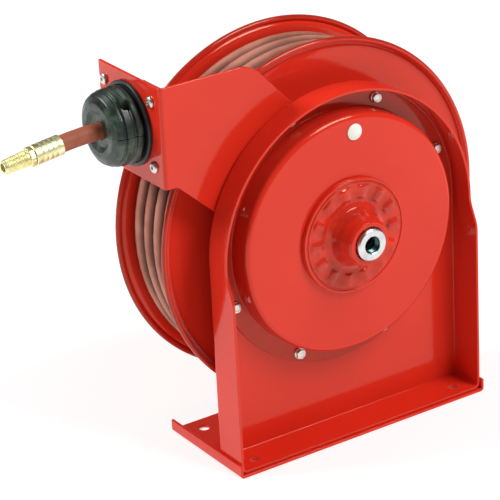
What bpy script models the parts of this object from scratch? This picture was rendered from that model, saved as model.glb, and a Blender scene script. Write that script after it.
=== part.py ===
"""A spring-rewind hose reel on an arched steel pedestal.

Metres, +Z up, +X to the right, front towards -Y. The origin is the middle of the base plate's underside.
The spool turns on a hollow shaft along Y. The shaft runs in two bushes, one in the bearing housing on the
spring case and one behind the pedestal. Water or air enters at the swivel on the front, passes through the
shaft and the outlet elbow in the drum, and leaves through the hose, which runs out to the left (-X) through
a roller guide on the guide arm.
"""

import math

import bmesh
import bpy
from mathutils import Matrix, Vector

# ---------------------------------------------------------------- driving dimensions
GAP = 0.0003                      # clearance between touching pieces

BASE_HALF_WIDTH = 0.155
BASE_HALF_DEPTH = 0.066
SHEET = 0.003                     # base, pedestal and arm sheet
BASE_LIP = 0.014                  # height of the upturned ends of the base
MOUNT_HOLE_X = 0.127
MOUNT_HOLE_Y = 0.047
MOUNT_HOLE_RADIUS = 0.0055

AXLE_HEIGHT = 0.2212
PEDESTAL_HALF_WIDTH = 0.152       # also the radius of the arch
PLATE_FRONT = -0.024              # front face of the pedestal's plate
WALL_FRONT = -0.063               # front edge of the side walls and the foot
ARCH_FRONT = -0.052               # front edge of the shallower flange round the arch
RAMP_BOTTOM = 0.186               # height where the walls start to get shallower
BEND_RADIUS = 0.004
CORNER_RADIUS = 0.007

CASE_RADIUS = 0.127
CASE_FRONT = -0.052
CASE_SHEET = 0.002
CASE_RIM = 0.146
SCREW_CIRCLE = 0.137
SCREW_COUNT = 8
SCREW_RADIUS = 0.003
PLUG_CIRCLE = 0.1088
PLUG_ANGLE = 86.2

HOUSING_RADIUS = 0.061
HOUSING_FLANGE = 0.005
HOUSING_RIBS = 14
BOSS_RADIUS = 0.030
BOSS_FRONT = -0.0835             # the boss shrouds the swivel as far as this
BUSH_RADIUS = 0.015
BUSH_BORE = 0.0128
SHAFT_RADIUS = 0.0125
SHAFT_BORE = 0.0065
SHAFT_FRONT = -0.078
SHAFT_END = 0.098
ARBOR_RADIUS = 0.0225
ARBOR_FRONT = -0.0460
ARBOR_BACK = -0.0280
OUTLET_Y = 0.036                  # where the shaft's bore opens into the elbow
SWIVEL_FRONT = -0.088
SWIVEL_BACK = -0.0712
SWIVEL_RADIUS = 0.017
SWIVEL_BORE = 0.008

SPOOL_MIDDLE = 0.045              # Y of the middle of the spool
FLANGE_RADIUS = 0.1913
FLANGE_HALF_SPAN = 0.047          # from the middle to the outside of a rolled rim
FLANGE_SHEET = 0.0016
WEB_OFFSET = 0.042                # from the middle to the outer face of a flange's flat web
RIM_BEAD = 0.003
LIP_START = 0.178                 # the flange turns out from here to its rolled rim
DRUM_RADIUS = 0.1046
DRUM_WALL = 0.0022
ROUND_SPOOL = 36                  # facets of the drum and of the winding on it
TIE_ROD_CIRCLE = 0.095

HOSE_RADIUS = 0.00875
LAYER_STEP = 0.0173
LAYERS = 4
HOSE_LEAVES_Y = 0.0145            # the hose leaves its outer layer beside the near flange
GUIDE_RUN = 0.036                 # how far behind the guide the hose is already straight
WINDING_TOP = DRUM_RADIUS + HOSE_RADIUS + LAYER_STEP * (LAYERS - 1)   # centre line of the outer layer

GUIDE_X = -0.194                  # outer face of the arm's bent end
GUIDE_Y = 0.040
GUIDE_Z = 0.3635
ARM_FRONT = PLATE_FRONT + SHEET + GAP
BRACKET_BACK = 0.093
BRACKET_TOP = 0.4145
BRACKET_BOTTOM = 0.3105
BUMPER_RADIUS = 0.0395
BUMPER_BACK = -0.1985
BUMPER_FRONT = -0.2305
STUB_LENGTH = 0.0415
HOSE_IN_FERRULE = 0.027
DROOP = math.radians(7)           # sag of the hose and its fitting beyond the bumper

ROLLER_RADIUS = 0.007
ROLLER_HALF = 0.024
ROLLER_OFFSET = 0.0165
ROLLER_PIN = 0.0025

RATCHET_TEETH = 12
RATCHET_OUTER = 0.060
RATCHET_ROOT = 0.054
RATCHET_INNER = 0.042
LATCH_FRONT = -0.0035
LATCH_BACK = 0.0027
PAWL_PIVOT = (0.0772, -0.0090)    # from the axle, (x, z)
PAWL_PIN_RADIUS = 0.004
PAWL_RADIUS = 0.0085              # of the eye round its pin

AXLE = Vector((0, 0, AXLE_HEIGHT))
GUIDE = Vector((GUIDE_X, GUIDE_Y, GUIDE_Z))


# ---------------------------------------------------------------- materials
def make_material(name, colour, roughness, metallic):
    material = bpy.data.materials.new(name)
    material.use_nodes = True
    shader = material.node_tree.nodes["Principled BSDF"]
    shader.inputs["Base Color"].default_value = (*colour, 1)
    shader.inputs["Roughness"].default_value = roughness
    shader.inputs["Metallic"].default_value = metallic
    return material


# ---------------------------------------------------------------- shape helpers
def circle(radius, count, start=0.0):
    """Points of a circle, counted from +X towards +Z."""
    return [
        (radius * math.cos(start + math.tau * i / count), radius * math.sin(start + math.tau * i / count))
        for i in range(count)
    ]


def arc(centre, radius, first, last, steps):
    """Points of an arc, angles in degrees."""
    angles = [math.radians(first + (last - first) * i / steps) for i in range(steps + 1)]
    return [(centre[0] + radius * math.cos(a), centre[1] + radius * math.sin(a)) for a in angles]


def to_object(name, mesh_data, material, parent, smooth_angle=35):
    """An object made from a bmesh whose points are relative to its parent."""
    bmesh.ops.recalc_face_normals(mesh_data, faces=mesh_data.faces)
    mesh = bpy.data.meshes.new(name)
    mesh_data.to_mesh(mesh)
    mesh_data.free()
    mesh.shade_smooth()
    mesh.set_sharp_from_angle(angle=math.radians(smooth_angle))
    made = bpy.data.objects.new(name, mesh)
    bpy.context.scene.collection.objects.link(made)
    made.parent = parent
    if material is not None:
        mesh.materials.append(material)
    return made


def loops_to_mesh(loops, closed_profile=True, closed_path=True):
    """Quads between neighbouring loops of points; points on the axis are shared."""
    data = bmesh.new()
    rings = [[data.verts.new(point) for point in loop] for loop in loops]
    pairs = len(rings) if closed_path else len(rings) - 1
    for i in range(pairs):
        here = rings[i]
        there = rings[(i + 1) % len(rings)]
        sides = len(here) if closed_profile else len(here) - 1
        for j in range(sides):
            k = (j + 1) % len(here)
            data.faces.new((here[j], here[k], there[k], there[j]))
    return data, rings


def turned(name, profile, material, parent, segments=48, sweep=360.0, start=0.0, height=None):
    """A closed (radius, y) profile turned about the Y axis. A sweep under 360 gets flat ends.

    height(i, radius, y) may lift a point of section i along Y, for ribs.
    """
    whole = sweep >= 360
    steps = segments if whole else segments + 1
    loops = []
    for i in range(steps):
        angle = math.radians(start + sweep * i / segments)
        loop = []
        for radius, y in profile:
            lift = height(i, radius, y) if height else 0.0
            loop.append((radius * math.cos(angle), y + lift, radius * math.sin(angle)))
        loops.append(loop)
    data, rings = loops_to_mesh(loops, closed_path=whole)
    if not whole:
        data.faces.new(rings[0])
        data.faces.new(rings[-1])
    bmesh.ops.remove_doubles(data, verts=data.verts, dist=1e-7)
    return to_object(name, data, material, parent)


def prism(name, outline, front, back, material, parent, axis="Y"):
    """An outline of (x, z) points extruded along Y, or (y, z) points along X, or (x, y) points along Z."""
    place = {
        "Y": lambda p, depth: (p[0], depth, p[1]),
        "X": lambda p, depth: (depth, p[0], p[1]),
        "Z": lambda p, depth: (p[0], p[1], depth),
    }[axis]
    data, rings = loops_to_mesh(
        [[place(p, front) for p in outline], [place(p, back) for p in outline]], closed_path=False
    )
    data.faces.new(rings[0])
    data.faces.new(rings[1])
    return to_object(name, data, material, parent)


def ring_prism(name, outer, inner, front, back, material, parent):
    """A flat ring between two outlines with the same number of (x, z) points."""
    loops = []
    for outline, depth in ((outer, front), (outer, back), (inner, back), (inner, front)):
        loops.append([(x, depth, z) for x, z in outline])
    data, _ = loops_to_mesh(loops)
    return to_object(name, data, material, parent)


def tube(name, points, radius, material, parent, resolution=2):
    """A round tube along a list of points, with flat ends."""
    curve = bpy.data.curves.new(name, "CURVE")
    curve.dimensions = "3D"
    spline = curve.splines.new("POLY")
    spline.points.add(len(points) - 1)
    for target, point in zip(spline.points, points):
        target.co = (*point, 1)
    curve.bevel_depth = radius
    curve.bevel_resolution = resolution
    curve.use_fill_caps = True
    made = bpy.data.objects.new(name, curve)
    bpy.context.scene.collection.objects.link(made)
    made.parent = parent
    curve.materials.append(material)
    return made


def bolt(name, material, parent, seat, direction, head, shank, domed=False):
    """A bolt whose head sits on `seat` and whose shank points along `direction`. Its origin is at the seat.

    head and shank are (radius, length). The head is a hexagon, or a dome.
    """
    sides = 12
    plain = circle(1.0, sides)
    hexagon = list(plain)
    for i in range(1, sides, 2):
        hexagon[i] = (plain[i][0] * math.cos(math.pi / 6), plain[i][1] * math.cos(math.pi / 6))
    head_radius, head_height = head
    shank_radius, length = shank
    stations = [(plain, shank_radius, length), (plain, shank_radius, 0.0)]
    if domed:
        dome = ((1.0, 0.0), (1.0, 0.35), (0.72, 0.8), (0.35, 1.0))
        stations += [(plain, wide * head_radius, -high * head_height) for wide, high in dome]
    else:
        stations += [(hexagon, head_radius, 0.0), (hexagon, head_radius, -0.8 * head_height)]
        stations += [(plain, 0.82 * head_radius, -head_height)]
    loops = [[(x * radius, y * radius, depth) for x, y in shape] for shape, radius, depth in stations]
    data, rings = loops_to_mesh(loops, closed_path=False)
    data.faces.new(rings[0])
    data.faces.new(rings[-1])
    made = to_object(name, data, material, parent)
    made.location = seat
    made.rotation_mode = "QUATERNION"
    made.rotation_quaternion = Vector((0, 0, 1)).rotation_difference(Vector(direction))
    return made


def rod_cutter(name, parent, start, end, radius, sides=16):
    """A round cutter between two points. It is left out of the model."""
    start = Vector(start)
    end = Vector(end)
    way = end - start
    turn = Vector((0, 0, 1)).rotation_difference(way).to_matrix()
    loops = []
    for depth in (0.0, way.length):
        loops.append([start + turn @ Vector((x, y, depth)) for x, y in circle(radius, sides)])
    data, rings = loops_to_mesh(loops, closed_path=False)
    data.faces.new(rings[0])
    data.faces.new(rings[1])
    return as_cutter(to_object(name, data, None, parent))


def as_cutter(made):
    made.hide_render = True
    made.display_type = "WIRE"
    return made


def cut(target, cutter, operation="DIFFERENCE"):
    modifier = target.modifiers.new(cutter.name, "BOOLEAN")
    modifier.operation = operation
    modifier.solver = "EXACT"
    modifier.object = cutter


def polar(radius, degrees):
    angle = math.radians(degrees)
    return radius * math.cos(angle), radius * math.sin(angle)


def empty(name, location, parent=None):
    made = bpy.data.objects.new(name, None)
    bpy.context.scene.collection.objects.link(made)
    made.location = location
    made.parent = parent
    return made


# ---------------------------------------------------------------- base and pedestal
def make_base(parent, material):
    """A flat plate whose two ends are bent up."""
    outer = BEND_RADIUS
    inner = BEND_RADIUS - SHEET
    right = [(BASE_HALF_WIDTH, BASE_LIP), (BASE_HALF_WIDTH - SHEET, BASE_LIP)]
    right += arc((BASE_HALF_WIDTH - outer, outer), inner, 0, -90, 3)
    under = arc((BASE_HALF_WIDTH - outer, outer), outer, -90, 0, 4)
    left = [(-x, z) for x, z in reversed(right)]
    left_under = [(-x, z) for x, z in reversed(under)]
    outline = right + left + left_under + under
    base = prism("base_plate", outline, -BASE_HALF_DEPTH, BASE_HALF_DEPTH, material, parent)
    for x in (-MOUNT_HOLE_X, MOUNT_HOLE_X):
        for y in (-MOUNT_HOLE_Y, MOUNT_HOLE_Y):
            name = f"mount_hole_{'left' if x < 0 else 'right'}_{'front' if y < 0 else 'rear'}"
            cut(base, rod_cutter(name, parent, (x, y, -0.01), (x, y, 0.01), MOUNT_HOLE_RADIUS))
    return base


def pedestal_path():
    """Points of the pedestal's outline with the outward normal and the front edge of the flange there."""
    bottom = SHEET + GAP
    half = PEDESTAL_HALF_WIDTH
    points = []

    def add(x, z, normal, front):
        points.append((Vector((x, 0, z)), Vector((normal[0], 0, normal[1])), front))

    steps = 3
    for i in range(steps + 1):
        x, z = arc((half - CORNER_RADIUS, bottom + CORNER_RADIUS), CORNER_RADIUS, -90, 0, steps)[i]
        normal = polar(1, -90 + 90 * i / steps)
        add(x, z, normal, WALL_FRONT)
    ramp = 4
    for i in range(ramp):
        share = i / ramp
        smooth = share * share * (3 - 2 * share)
        z = RAMP_BOTTOM + (AXLE_HEIGHT - RAMP_BOTTOM) * share
        add(half, z, (1, 0), WALL_FRONT + (ARCH_FRONT - WALL_FRONT) * smooth)
    turns = 32
    for i in range(turns + 1):
        normal = polar(1, 180 * i / turns)
        add(half * normal[0], AXLE_HEIGHT + half * normal[1], normal, ARCH_FRONT)
    right_side = points[: steps + 1 + ramp]
    for point, normal, front in reversed(right_side):
        add(-point.x, point.z, (-normal.x, normal.z), front)
    return points


def make_pedestal(parent, material):
    """A flat plate with a flange bent forward all round: two side walls, the arch and the foot."""
    plate_back = PLATE_FRONT + SHEET
    inner_radius = BEND_RADIUS - SHEET
    loops = []
    for point, normal, front in pedestal_path():
        section = [(BEND_RADIUS, PLATE_FRONT), (SHEET, PLATE_FRONT - inner_radius)]
        section += [(SHEET, front), (0.0, front)]
        section += arc((BEND_RADIUS, plate_back - BEND_RADIUS), BEND_RADIUS, 180, 90, 3)
        loops.append([point - normal * offset + Vector((0, depth, 0)) for offset, depth in section])
    data, rings = loops_to_mesh(loops, closed_profile=False)
    data.faces.new([ring[0] for ring in rings])
    data.faces.new([ring[-1] for ring in rings])
    pedestal = to_object("pedestal", data, material, parent)
    for x in (-MOUNT_HOLE_X, MOUNT_HOLE_X):
        name = f"foot_hole_{'left' if x < 0 else 'right'}"
        hole = rod_cutter(name, parent, (x, -MOUNT_HOLE_Y, 0), (x, -MOUNT_HOLE_Y, 0.01), MOUNT_HOLE_RADIUS)
        cut(pedestal, hole)
    behind = AXLE + Vector((0, 2 * PLATE_FRONT, 0))
    cut(pedestal, rod_cutter("shaft_hole", parent, behind, AXLE, 0.020, 32))
    return pedestal


# ---------------------------------------------------------------- spring case and bearings
def make_case(axle, material):
    """The shallow can on the plate that holds the power spring: a rim, a round wall and a front disc."""
    back = PLATE_FRONT - GAP
    bore = 0.018
    outer = 0.005
    inner = outer - CASE_SHEET
    middle = (CASE_RADIUS - outer, CASE_FRONT + outer)
    profile = [(bore, CASE_FRONT)]
    profile += arc(middle, outer, -90, 0, 3)
    profile += [(CASE_RADIUS, back - CASE_SHEET), (CASE_RIM, back - CASE_SHEET), (CASE_RIM, back)]
    profile += [(CASE_RADIUS - CASE_SHEET, back)]
    profile += arc(middle, inner, 0, -90, 2)
    profile += [(bore, CASE_FRONT + CASE_SHEET)]
    case = turned("spring_case", profile, material, axle, segments=44)
    x, z = polar(PLUG_CIRCLE, PLUG_ANGLE)
    cut(case, rod_cutter("plug_hole", axle, (x, CASE_FRONT - 0.01, z), (x, CASE_FRONT + 0.01, z), 0.0068))
    return case


def make_case_screws(axle, material, drilled):
    """Eight hexagon screws hold the case; the two on the upper left also clamp the guide arm."""
    seat = PLATE_FRONT - GAP - CASE_SHEET - GAP
    for i in range(SCREW_COUNT):
        x, z = polar(SCREW_CIRCLE, 22.5 + 45 * i)
        name = f"case_screw_{i + 1}"
        bolt(name, material, axle, (x, seat, z), (0, 1, 0), (0.0062, 0.0042), (SCREW_RADIUS, 0.0125))
        before = (x, PLATE_FRONT - 0.01, z)
        behind = (x, PLATE_FRONT + 0.014, z)
        hole = rod_cutter(f"screw_hole_{i + 1}", axle, before, behind, SCREW_RADIUS + 0.0006, 8)
        for piece in drilled:
            cut(piece, hole)


def make_plug(axle, material):
    """A domed push-in plug in the case's front disc."""
    x, z = polar(PLUG_CIRCLE, PLUG_ANGLE)
    plug_axis = empty("plug_axis", (x, 0, z), axle)
    seat = CASE_FRONT - GAP
    profile = [(0.0, seat - 0.0035), (0.004, seat - 0.0032), (0.0075, seat - 0.002), (0.0085, seat)]
    profile += [(0.0065, seat), (0.0065, seat + 0.005), (0.0, seat + 0.005)]
    turned("case_plug", profile, material, plug_axis, segments=20)


def make_front_housing(axle, material):
    """The flanged bearing housing on the case, with short ribs round its boss and a pocket for the swivel."""
    seat = CASE_FRONT - GAP
    face = seat - HOUSING_FLANGE
    spigot = seat + 0.006
    rib_inner = 0.040
    rib_outer = 0.054
    rib_height = 0.0016
    per_rib = 3
    bore = BUSH_RADIUS + GAP
    pocket = SWIVEL_RADIUS + 0.0008
    pocket_end = SWIVEL_BACK + 0.0009
    profile = [(bore, spigot), (0.0177, spigot), (0.0177, seat)]
    profile += [(HOUSING_RADIUS, seat), (HOUSING_RADIUS, face + 0.001), (HOUSING_RADIUS - 0.0012, face)]
    profile += [(0.0565, face), (rib_outer, face), (rib_inner, face), (0.0370, face)]
    profile += [(BOSS_RADIUS + 0.001, face - 0.002), (BOSS_RADIUS - 0.001, face - 0.007)]
    profile += [(BOSS_RADIUS - 0.0055, BOSS_FRONT + 0.0025), (BOSS_RADIUS - 0.0075, BOSS_FRONT)]
    profile += [(pocket, BOSS_FRONT), (pocket, pocket_end), (bore, pocket_end)]

    def rib(i, radius, y):
        on_face = rib_inner <= radius <= rib_outer and y < seat - 0.002
        return -rib_height if on_face and i % per_rib == 0 else 0.0

    segments = HOUSING_RIBS * per_rib
    turned("front_bearing_housing", profile, material, axle, segments=segments, height=rib)


def make_bushes(axle, material):
    """The two plain bearings that the shaft runs in."""
    for name, front, back in (("front_bush", -0.0685, -0.0465), ("rear_bush", -0.0240, -0.0085)):
        profile = [(BUSH_BORE, front), (BUSH_RADIUS, front), (BUSH_RADIUS, back), (BUSH_BORE, back)]
        turned(name, profile, material, axle, segments=18)


def make_rear_housing(axle, material):
    """The rear bearing housing: a flange behind the plate and a spigot in the plate's hole."""
    seat = PLATE_FRONT + SHEET + GAP
    bore = BUSH_RADIUS + GAP
    spigot = 0.0197
    flange = 0.036
    profile = [(bore, PLATE_FRONT), (spigot, PLATE_FRONT), (spigot, seat), (flange, seat)]
    profile += [(flange, seat + 0.003), (0.022, seat + 0.0035), (0.020, seat + 0.012), (bore, seat + 0.012)]
    turned("rear_bearing_housing", profile, material, axle, segments=24)


def make_power_spring(axle, material):
    """A flat spiral strip from the arbor to the wall of the case."""
    turns = 5
    per_turn = 16
    first = ARBOR_RADIUS + 0.001
    last = CASE_RADIUS - CASE_SHEET - 0.003
    half = 0.0004
    front = ARBOR_FRONT - 0.0005
    back = ARBOR_BACK + 0.0005
    sections = []
    for i in range(turns * per_turn + 1):
        share = i / (turns * per_turn)
        angle = math.tau * turns * share
        radius = first + (last - first) * share
        out = Vector((math.cos(angle), 0, math.sin(angle)))
        corners = ((radius - half, front), (radius + half, front))
        corners += ((radius + half, back), (radius - half, back))
        sections.append([out * r + Vector((0, y, 0)) for r, y in corners])
    data, rings = loops_to_mesh(sections, closed_path=False)
    data.faces.new(rings[0])
    data.faces.new(rings[-1])
    return to_object("power_spring", data, material, axle)


# ---------------------------------------------------------------- shaft, swivel and spool
def make_shaft(spool, material):
    """The hollow shaft: open at the front, solid beyond the outlet hole."""
    bore_end = OUTLET_Y + 0.009
    chamfer = 0.001
    profile = [(SHAFT_BORE, SHAFT_FRONT), (SHAFT_RADIUS - chamfer, SHAFT_FRONT)]
    profile += [(SHAFT_RADIUS, SHAFT_FRONT + chamfer), (SHAFT_RADIUS, SHAFT_END - chamfer)]
    profile += [(SHAFT_RADIUS - chamfer, SHAFT_END), (0.0, SHAFT_END)]
    profile += [(0.0, bore_end), (SHAFT_BORE, bore_end)]
    shaft = turned("main_shaft", profile, material, spool, segments=20)
    cut(shaft, rod_cutter("outlet_hole", spool, (0, OUTLET_Y, 0), (0, OUTLET_Y, -0.02), 0.005, 12))


def make_arbor(spool, material):
    """The sleeve on the shaft that the power spring's inner end winds on."""
    chamfer = 0.001
    profile = [(BUSH_BORE, ARBOR_FRONT), (ARBOR_RADIUS - chamfer, ARBOR_FRONT)]
    profile += [(ARBOR_RADIUS, ARBOR_FRONT + chamfer), (ARBOR_RADIUS, ARBOR_BACK - chamfer)]
    profile += [(ARBOR_RADIUS - chamfer, ARBOR_BACK), (BUSH_BORE, ARBOR_BACK)]
    turned("spring_arbor", profile, material, spool, segments=18)


def make_swivel(swivel, seal, steel, rubber):
    """The inlet swivel turns on the nose of the shaft; an O-ring seals it."""
    seal_room = 0.0024
    step = SHAFT_FRONT - seal_room
    bore = SHAFT_RADIUS + GAP
    chamfer = 0.0015
    profile = [(SWIVEL_BORE, SWIVEL_FRONT), (SWIVEL_RADIUS - chamfer, SWIVEL_FRONT)]
    profile += [(SWIVEL_RADIUS, SWIVEL_FRONT + chamfer), (SWIVEL_RADIUS, SWIVEL_BACK), (bore, SWIVEL_BACK)]
    profile += [(bore, step), (SWIVEL_BORE, step)]
    turned("inlet_swivel", profile, steel, swivel, segments=24)
    middle = (SHAFT_RADIUS - 0.0023, SHAFT_FRONT - seal_room / 2)
    turned("swivel_seal", arc(middle, 0.0009, 0, 300, 5), rubber, seal, segments=14)


def flange_profile(side):
    """The (radius, y) profile of a flange: a flat web, a short lip and a rolled rim.

    side is -1 for the near flange and 1 for the far one.
    """
    web = WEB_OFFSET
    bead = (FLANGE_RADIUS - RIM_BEAD, FLANGE_HALF_SPAN - RIM_BEAD)
    outer = [(SHAFT_RADIUS + GAP, web), (LIP_START - 0.004, web), (LIP_START + 0.004, web + 0.0004)]
    outer += [(bead[0] - 0.0045, bead[1] + 0.0008)]
    round_rim = arc(bead, RIM_BEAD, 150, -150, 6)
    inner = [(bead[0] - 0.0040, bead[1] - 0.0010), (LIP_START + 0.004, web + 0.0004 - FLANGE_SHEET)]
    inner += [(LIP_START - 0.004, web - FLANGE_SHEET), (SHAFT_RADIUS + GAP, web - FLANGE_SHEET)]
    return [(r, SPOOL_MIDDLE + side * y) for r, y in outer + round_rim + inner]


def make_spool(spool, red, steel, brass):
    """Two flanges, the drum and the hubs between them, four tie rods, the shaft's nut and the elbow."""
    near = turned("near_flange", flange_profile(-1), red, spool, segments=44)
    far = turned("far_flange", flange_profile(1), red, spool, segments=44)
    inside = WEB_OFFSET - FLANGE_SHEET - GAP
    front = SPOOL_MIDDLE - inside
    back = SPOOL_MIDDLE + inside
    inner = DRUM_RADIUS - DRUM_WALL
    profile = [(inner, front), (DRUM_RADIUS, front), (DRUM_RADIUS, back), (inner, back)]
    drum = turned("drum", profile, red, spool, segments=ROUND_SPOOL)
    slot_y = 0.020
    cut(drum, rod_cutter("hose_slot", spool, (0, slot_y, -0.085), (0, slot_y, -0.115), 0.011))

    hub_length = 0.012
    for name, wide, inward in (("near_hub", front, 1), ("far_hub", back, -1)):
        narrow = wide + inward * hub_length
        step = wide + inward * hub_length * 0.3
        profile = [(BUSH_BORE, wide), (0.040, wide), (0.040, step), (0.024, step), (0.022, narrow)]
        profile += [(BUSH_BORE, narrow)]
        turned(name, profile, steel, spool, segments=18)

    near_face = SPOOL_MIDDLE - WEB_OFFSET
    for i in range(4):
        x, z = polar(TIE_ROD_CIRCLE, 45 + 90 * i)
        make_tie_rod(f"tie_rod_{i + 1}", spool, steel, x, z, near_face)
        hole = rod_cutter(f"tie_hole_{i + 1}", spool, (x, -0.02, z), (x, 0.11, z), 0.0047, 8)
        cut(near, hole)
        cut(far, hole)

    nut_front = SPOOL_MIDDLE + WEB_OFFSET + GAP
    hexagon = circle(0.0205, 6)
    rounded = []
    for i in range(6):
        here = Vector(hexagon[i])
        there = Vector(hexagon[(i + 1) % 6])
        rounded += [tuple(here.lerp(there, share / 4)) for share in range(4)]
    bore = circle(SHAFT_RADIUS + GAP, 24)
    ring_prism("shaft_nut", rounded, bore, nut_front, nut_front + 0.008, steel, spool)

    elbow = [(0, OUTLET_Y, -SHAFT_RADIUS - 0.0007), (0, OUTLET_Y, -0.068)]
    elbow += [(0, 0.0345, -0.078), (0, 0.030, -0.086), (0, slot_y, -0.1005)]
    tube("outlet_elbow", elbow, 0.0062, brass, spool)


def make_tie_rod(name, spool, material, x, z, near_face):
    """A rod through both flanges, riveted over at both ends."""
    radius = 0.004
    head = 0.0062
    front = near_face - GAP
    back = 2 * SPOOL_MIDDLE - front
    profile = [(0.0, front - 0.0022), (head * 0.6, front - 0.0018), (head, front), (radius, front)]
    profile += [(radius, back), (head, back), (head * 0.6, back + 0.0018), (0.0, back + 0.0022)]
    rod_axis = empty(f"{name}_axis", (x, 0, z), spool)
    turned(name, profile, material, rod_axis, segments=8)


# ---------------------------------------------------------------- latch
def make_ratchet(spool, material):
    """A ring of saw teeth on the near flange. Each tooth slopes down to its root, then rises steeply."""
    outer = []
    per_tooth = 4
    points = RATCHET_TEETH * per_tooth
    for i in range(points):
        share = (i % per_tooth) / (per_tooth - 1)
        radius = RATCHET_OUTER + (RATCHET_ROOT - RATCHET_OUTER) * share
        outer.append(polar(radius, 360 * i / points))
    inner = circle(RATCHET_INNER, points)
    ring_prism("ratchet_ring", outer, inner, LATCH_FRONT, LATCH_BACK, material, spool)


def make_latch(axle, pawl_axis, steel, spring_steel):
    """The pawl, its pin on the back of the pedestal and its torsion spring. At rest it clears the teeth."""
    sides = 16
    bore = circle(PAWL_PIN_RADIUS + GAP, sides)
    outline = circle(PAWL_RADIUS, sides)
    outline[4:8] = [(0.0010, 0.0105), (-0.0090, 0.0225), (-0.0138, 0.0238), (-0.0100, 0.0085)]
    ring_prism("latch_pawl", outline, bore, LATCH_FRONT, LATCH_BACK, steel, pawl_axis)

    seat = PLATE_FRONT + SHEET + GAP
    foot = 0.0105
    tip = LATCH_BACK - 0.0004
    pin_axis = empty("pawl_pin_axis", (PAWL_PIVOT[0], 0, PAWL_PIVOT[1]), axle)
    profile = [(0.0, seat), (foot, seat), (foot, seat + 0.002), (PAWL_PIN_RADIUS, seat + 0.0026)]
    profile += [(PAWL_PIN_RADIUS, tip), (0.0, tip)]
    turned("pawl_pin", profile, steel, pin_axis, segments=sides)

    coils = 3.5
    per_turn = 12
    height = 0.0105
    points = []
    for i in range(int(coils * per_turn) + 1):
        share = i / (coils * per_turn)
        x, z = polar(0.0062, 360 * coils * share)
        points.append((x, seat + 0.0040 + share * height, z))
    tube("pawl_spring", points, 0.0007, spring_steel, pin_axis, resolution=0)


# ---------------------------------------------------------------- guide arm and roller guide
def make_arm(parent, red):
    """A flat arm clamped behind the plate, with its left end bent back to carry the hose guide."""
    front = ARM_FRONT
    back = ARM_FRONT + SHEET
    inner = 0.118
    outline = [(GUIDE_X + BEND_RADIUS, BRACKET_BOTTOM), (-0.180, BRACKET_BOTTOM), (-0.136, 0.2700)]
    outline += [(x, z + AXLE_HEIGHT) for x, z in arc((0, 0), inner + 0.004, 158, 112, 8)]
    outline += [(-0.0420, 0.3620)]
    outline += arc((-0.104, 0.3815), 0.033, 42, 90, 4)
    outline += [(GUIDE_X + BEND_RADIUS, BRACKET_TOP)]
    arm = prism("guide_arm", outline, front, back, red, parent)

    outer = BEND_RADIUS
    bend = arc((GUIDE_X + outer, front + outer), outer, 270, 180, 4)
    section = bend + [(GUIDE_X, BRACKET_BACK), (GUIDE_X + SHEET, BRACKET_BACK)]
    section += arc((GUIDE_X + outer, front + outer), outer - SHEET, 180, 270, 3)
    section += [(GUIDE_X + outer + 0.003, back), (GUIDE_X + outer + 0.003, front)]
    end = prism("arm_end", section, BRACKET_BOTTOM, BRACKET_TOP, None, parent, axis="Z")
    cut(arm, as_cutter(end), "UNION")
    window = rod_cutter(
        "guide_window", parent, GUIDE + Vector((-0.01, 0, 0)), GUIDE + Vector((0.01, 0, 0)), 0.020, 28
    )
    cut(arm, window)
    return arm


def make_bezel(guide, black):
    """The moulded ring round the hose outlet, turned about X."""
    profile = [(0.0145, -0.0042), (0.0145, 0.0024), (0.0197, 0.0024), (0.0197, -GAP)]
    profile += [(0.0450, -GAP), (0.0450, -0.0028), (0.0435, -0.0042)]
    made = turned("guide_bezel", profile, black, guide, segments=22)
    made.rotation_euler = (0, 0, -math.pi / 2)
    return made


def make_roller_frame(parent, black):
    """A flanged square box behind the arm's bent end, open at both ends."""
    first = GUIDE_X + SHEET + GAP
    flange = 0.0025
    last = first + 0.032
    outer = 0.028
    inner = 0.0255

    def square(y_half, z_half):
        return [
            (GUIDE_Y - y_half, GUIDE_Z - z_half),
            (GUIDE_Y + y_half, GUIDE_Z - z_half),
            (GUIDE_Y + y_half, GUIDE_Z + z_half),
            (GUIDE_Y - y_half, GUIDE_Z + z_half),
        ]

    rim = square(0.0495, 0.0395)
    box = square(outer, outer)
    inside = square(inner, inner)
    stations = [(inside, first), (rim, first), (rim, first + flange), (box, first + flange)]
    stations += [(box, last), (inside, last)]
    loops = [[(x, y, z) for y, z in outline] for outline, x in stations]
    data, _ = loops_to_mesh(loops)
    return to_object("roller_frame", data, black, parent)


def make_rollers(guide, frame, black, steel):
    """Two level rollers in front and two upright ones behind them, each on its own pin."""
    for name, along, across, depth in (
        ("roller_lower", "Y", -1, 0.0115),
        ("roller_upper", "Y", 1, 0.0115),
        ("roller_near", "Z", -1, 0.0265),
        ("roller_far", "Z", 1, 0.0265),
    ):
        offset = ROLLER_OFFSET * across
        place = (depth, 0, offset) if along == "Y" else (depth, offset, 0)
        axis = empty(f"{name}_axis", place, guide)
        if along == "Z":
            axis.rotation_euler = (math.pi / 2, 0, 0)
        bore = ROLLER_PIN + GAP
        half = ROLLER_HALF
        small = ROLLER_RADIUS - 0.0006
        profile = [(bore, -half), (small, -half), (ROLLER_RADIUS, -half + 0.001)]
        profile += [(ROLLER_RADIUS, half - 0.001), (small, half), (bore, half)]
        turned(name, profile, black, axis, segments=14)
        reach = ROLLER_HALF + 0.0045
        ends = [(0.0, -reach), (ROLLER_PIN, -reach), (ROLLER_PIN, reach), (0.0, reach)]
        turned(name.replace("roller", "roller_pin"), ends, steel, axis, segments=10)
        way = Vector((0, 0.04, 0)) if along == "Y" else Vector((0, 0, 0.04))
        middle = Vector(place)
        cut(frame, rod_cutter(f"{name}_hole", guide, middle - way, middle + way, ROLLER_PIN + 0.0005, 10))


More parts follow.
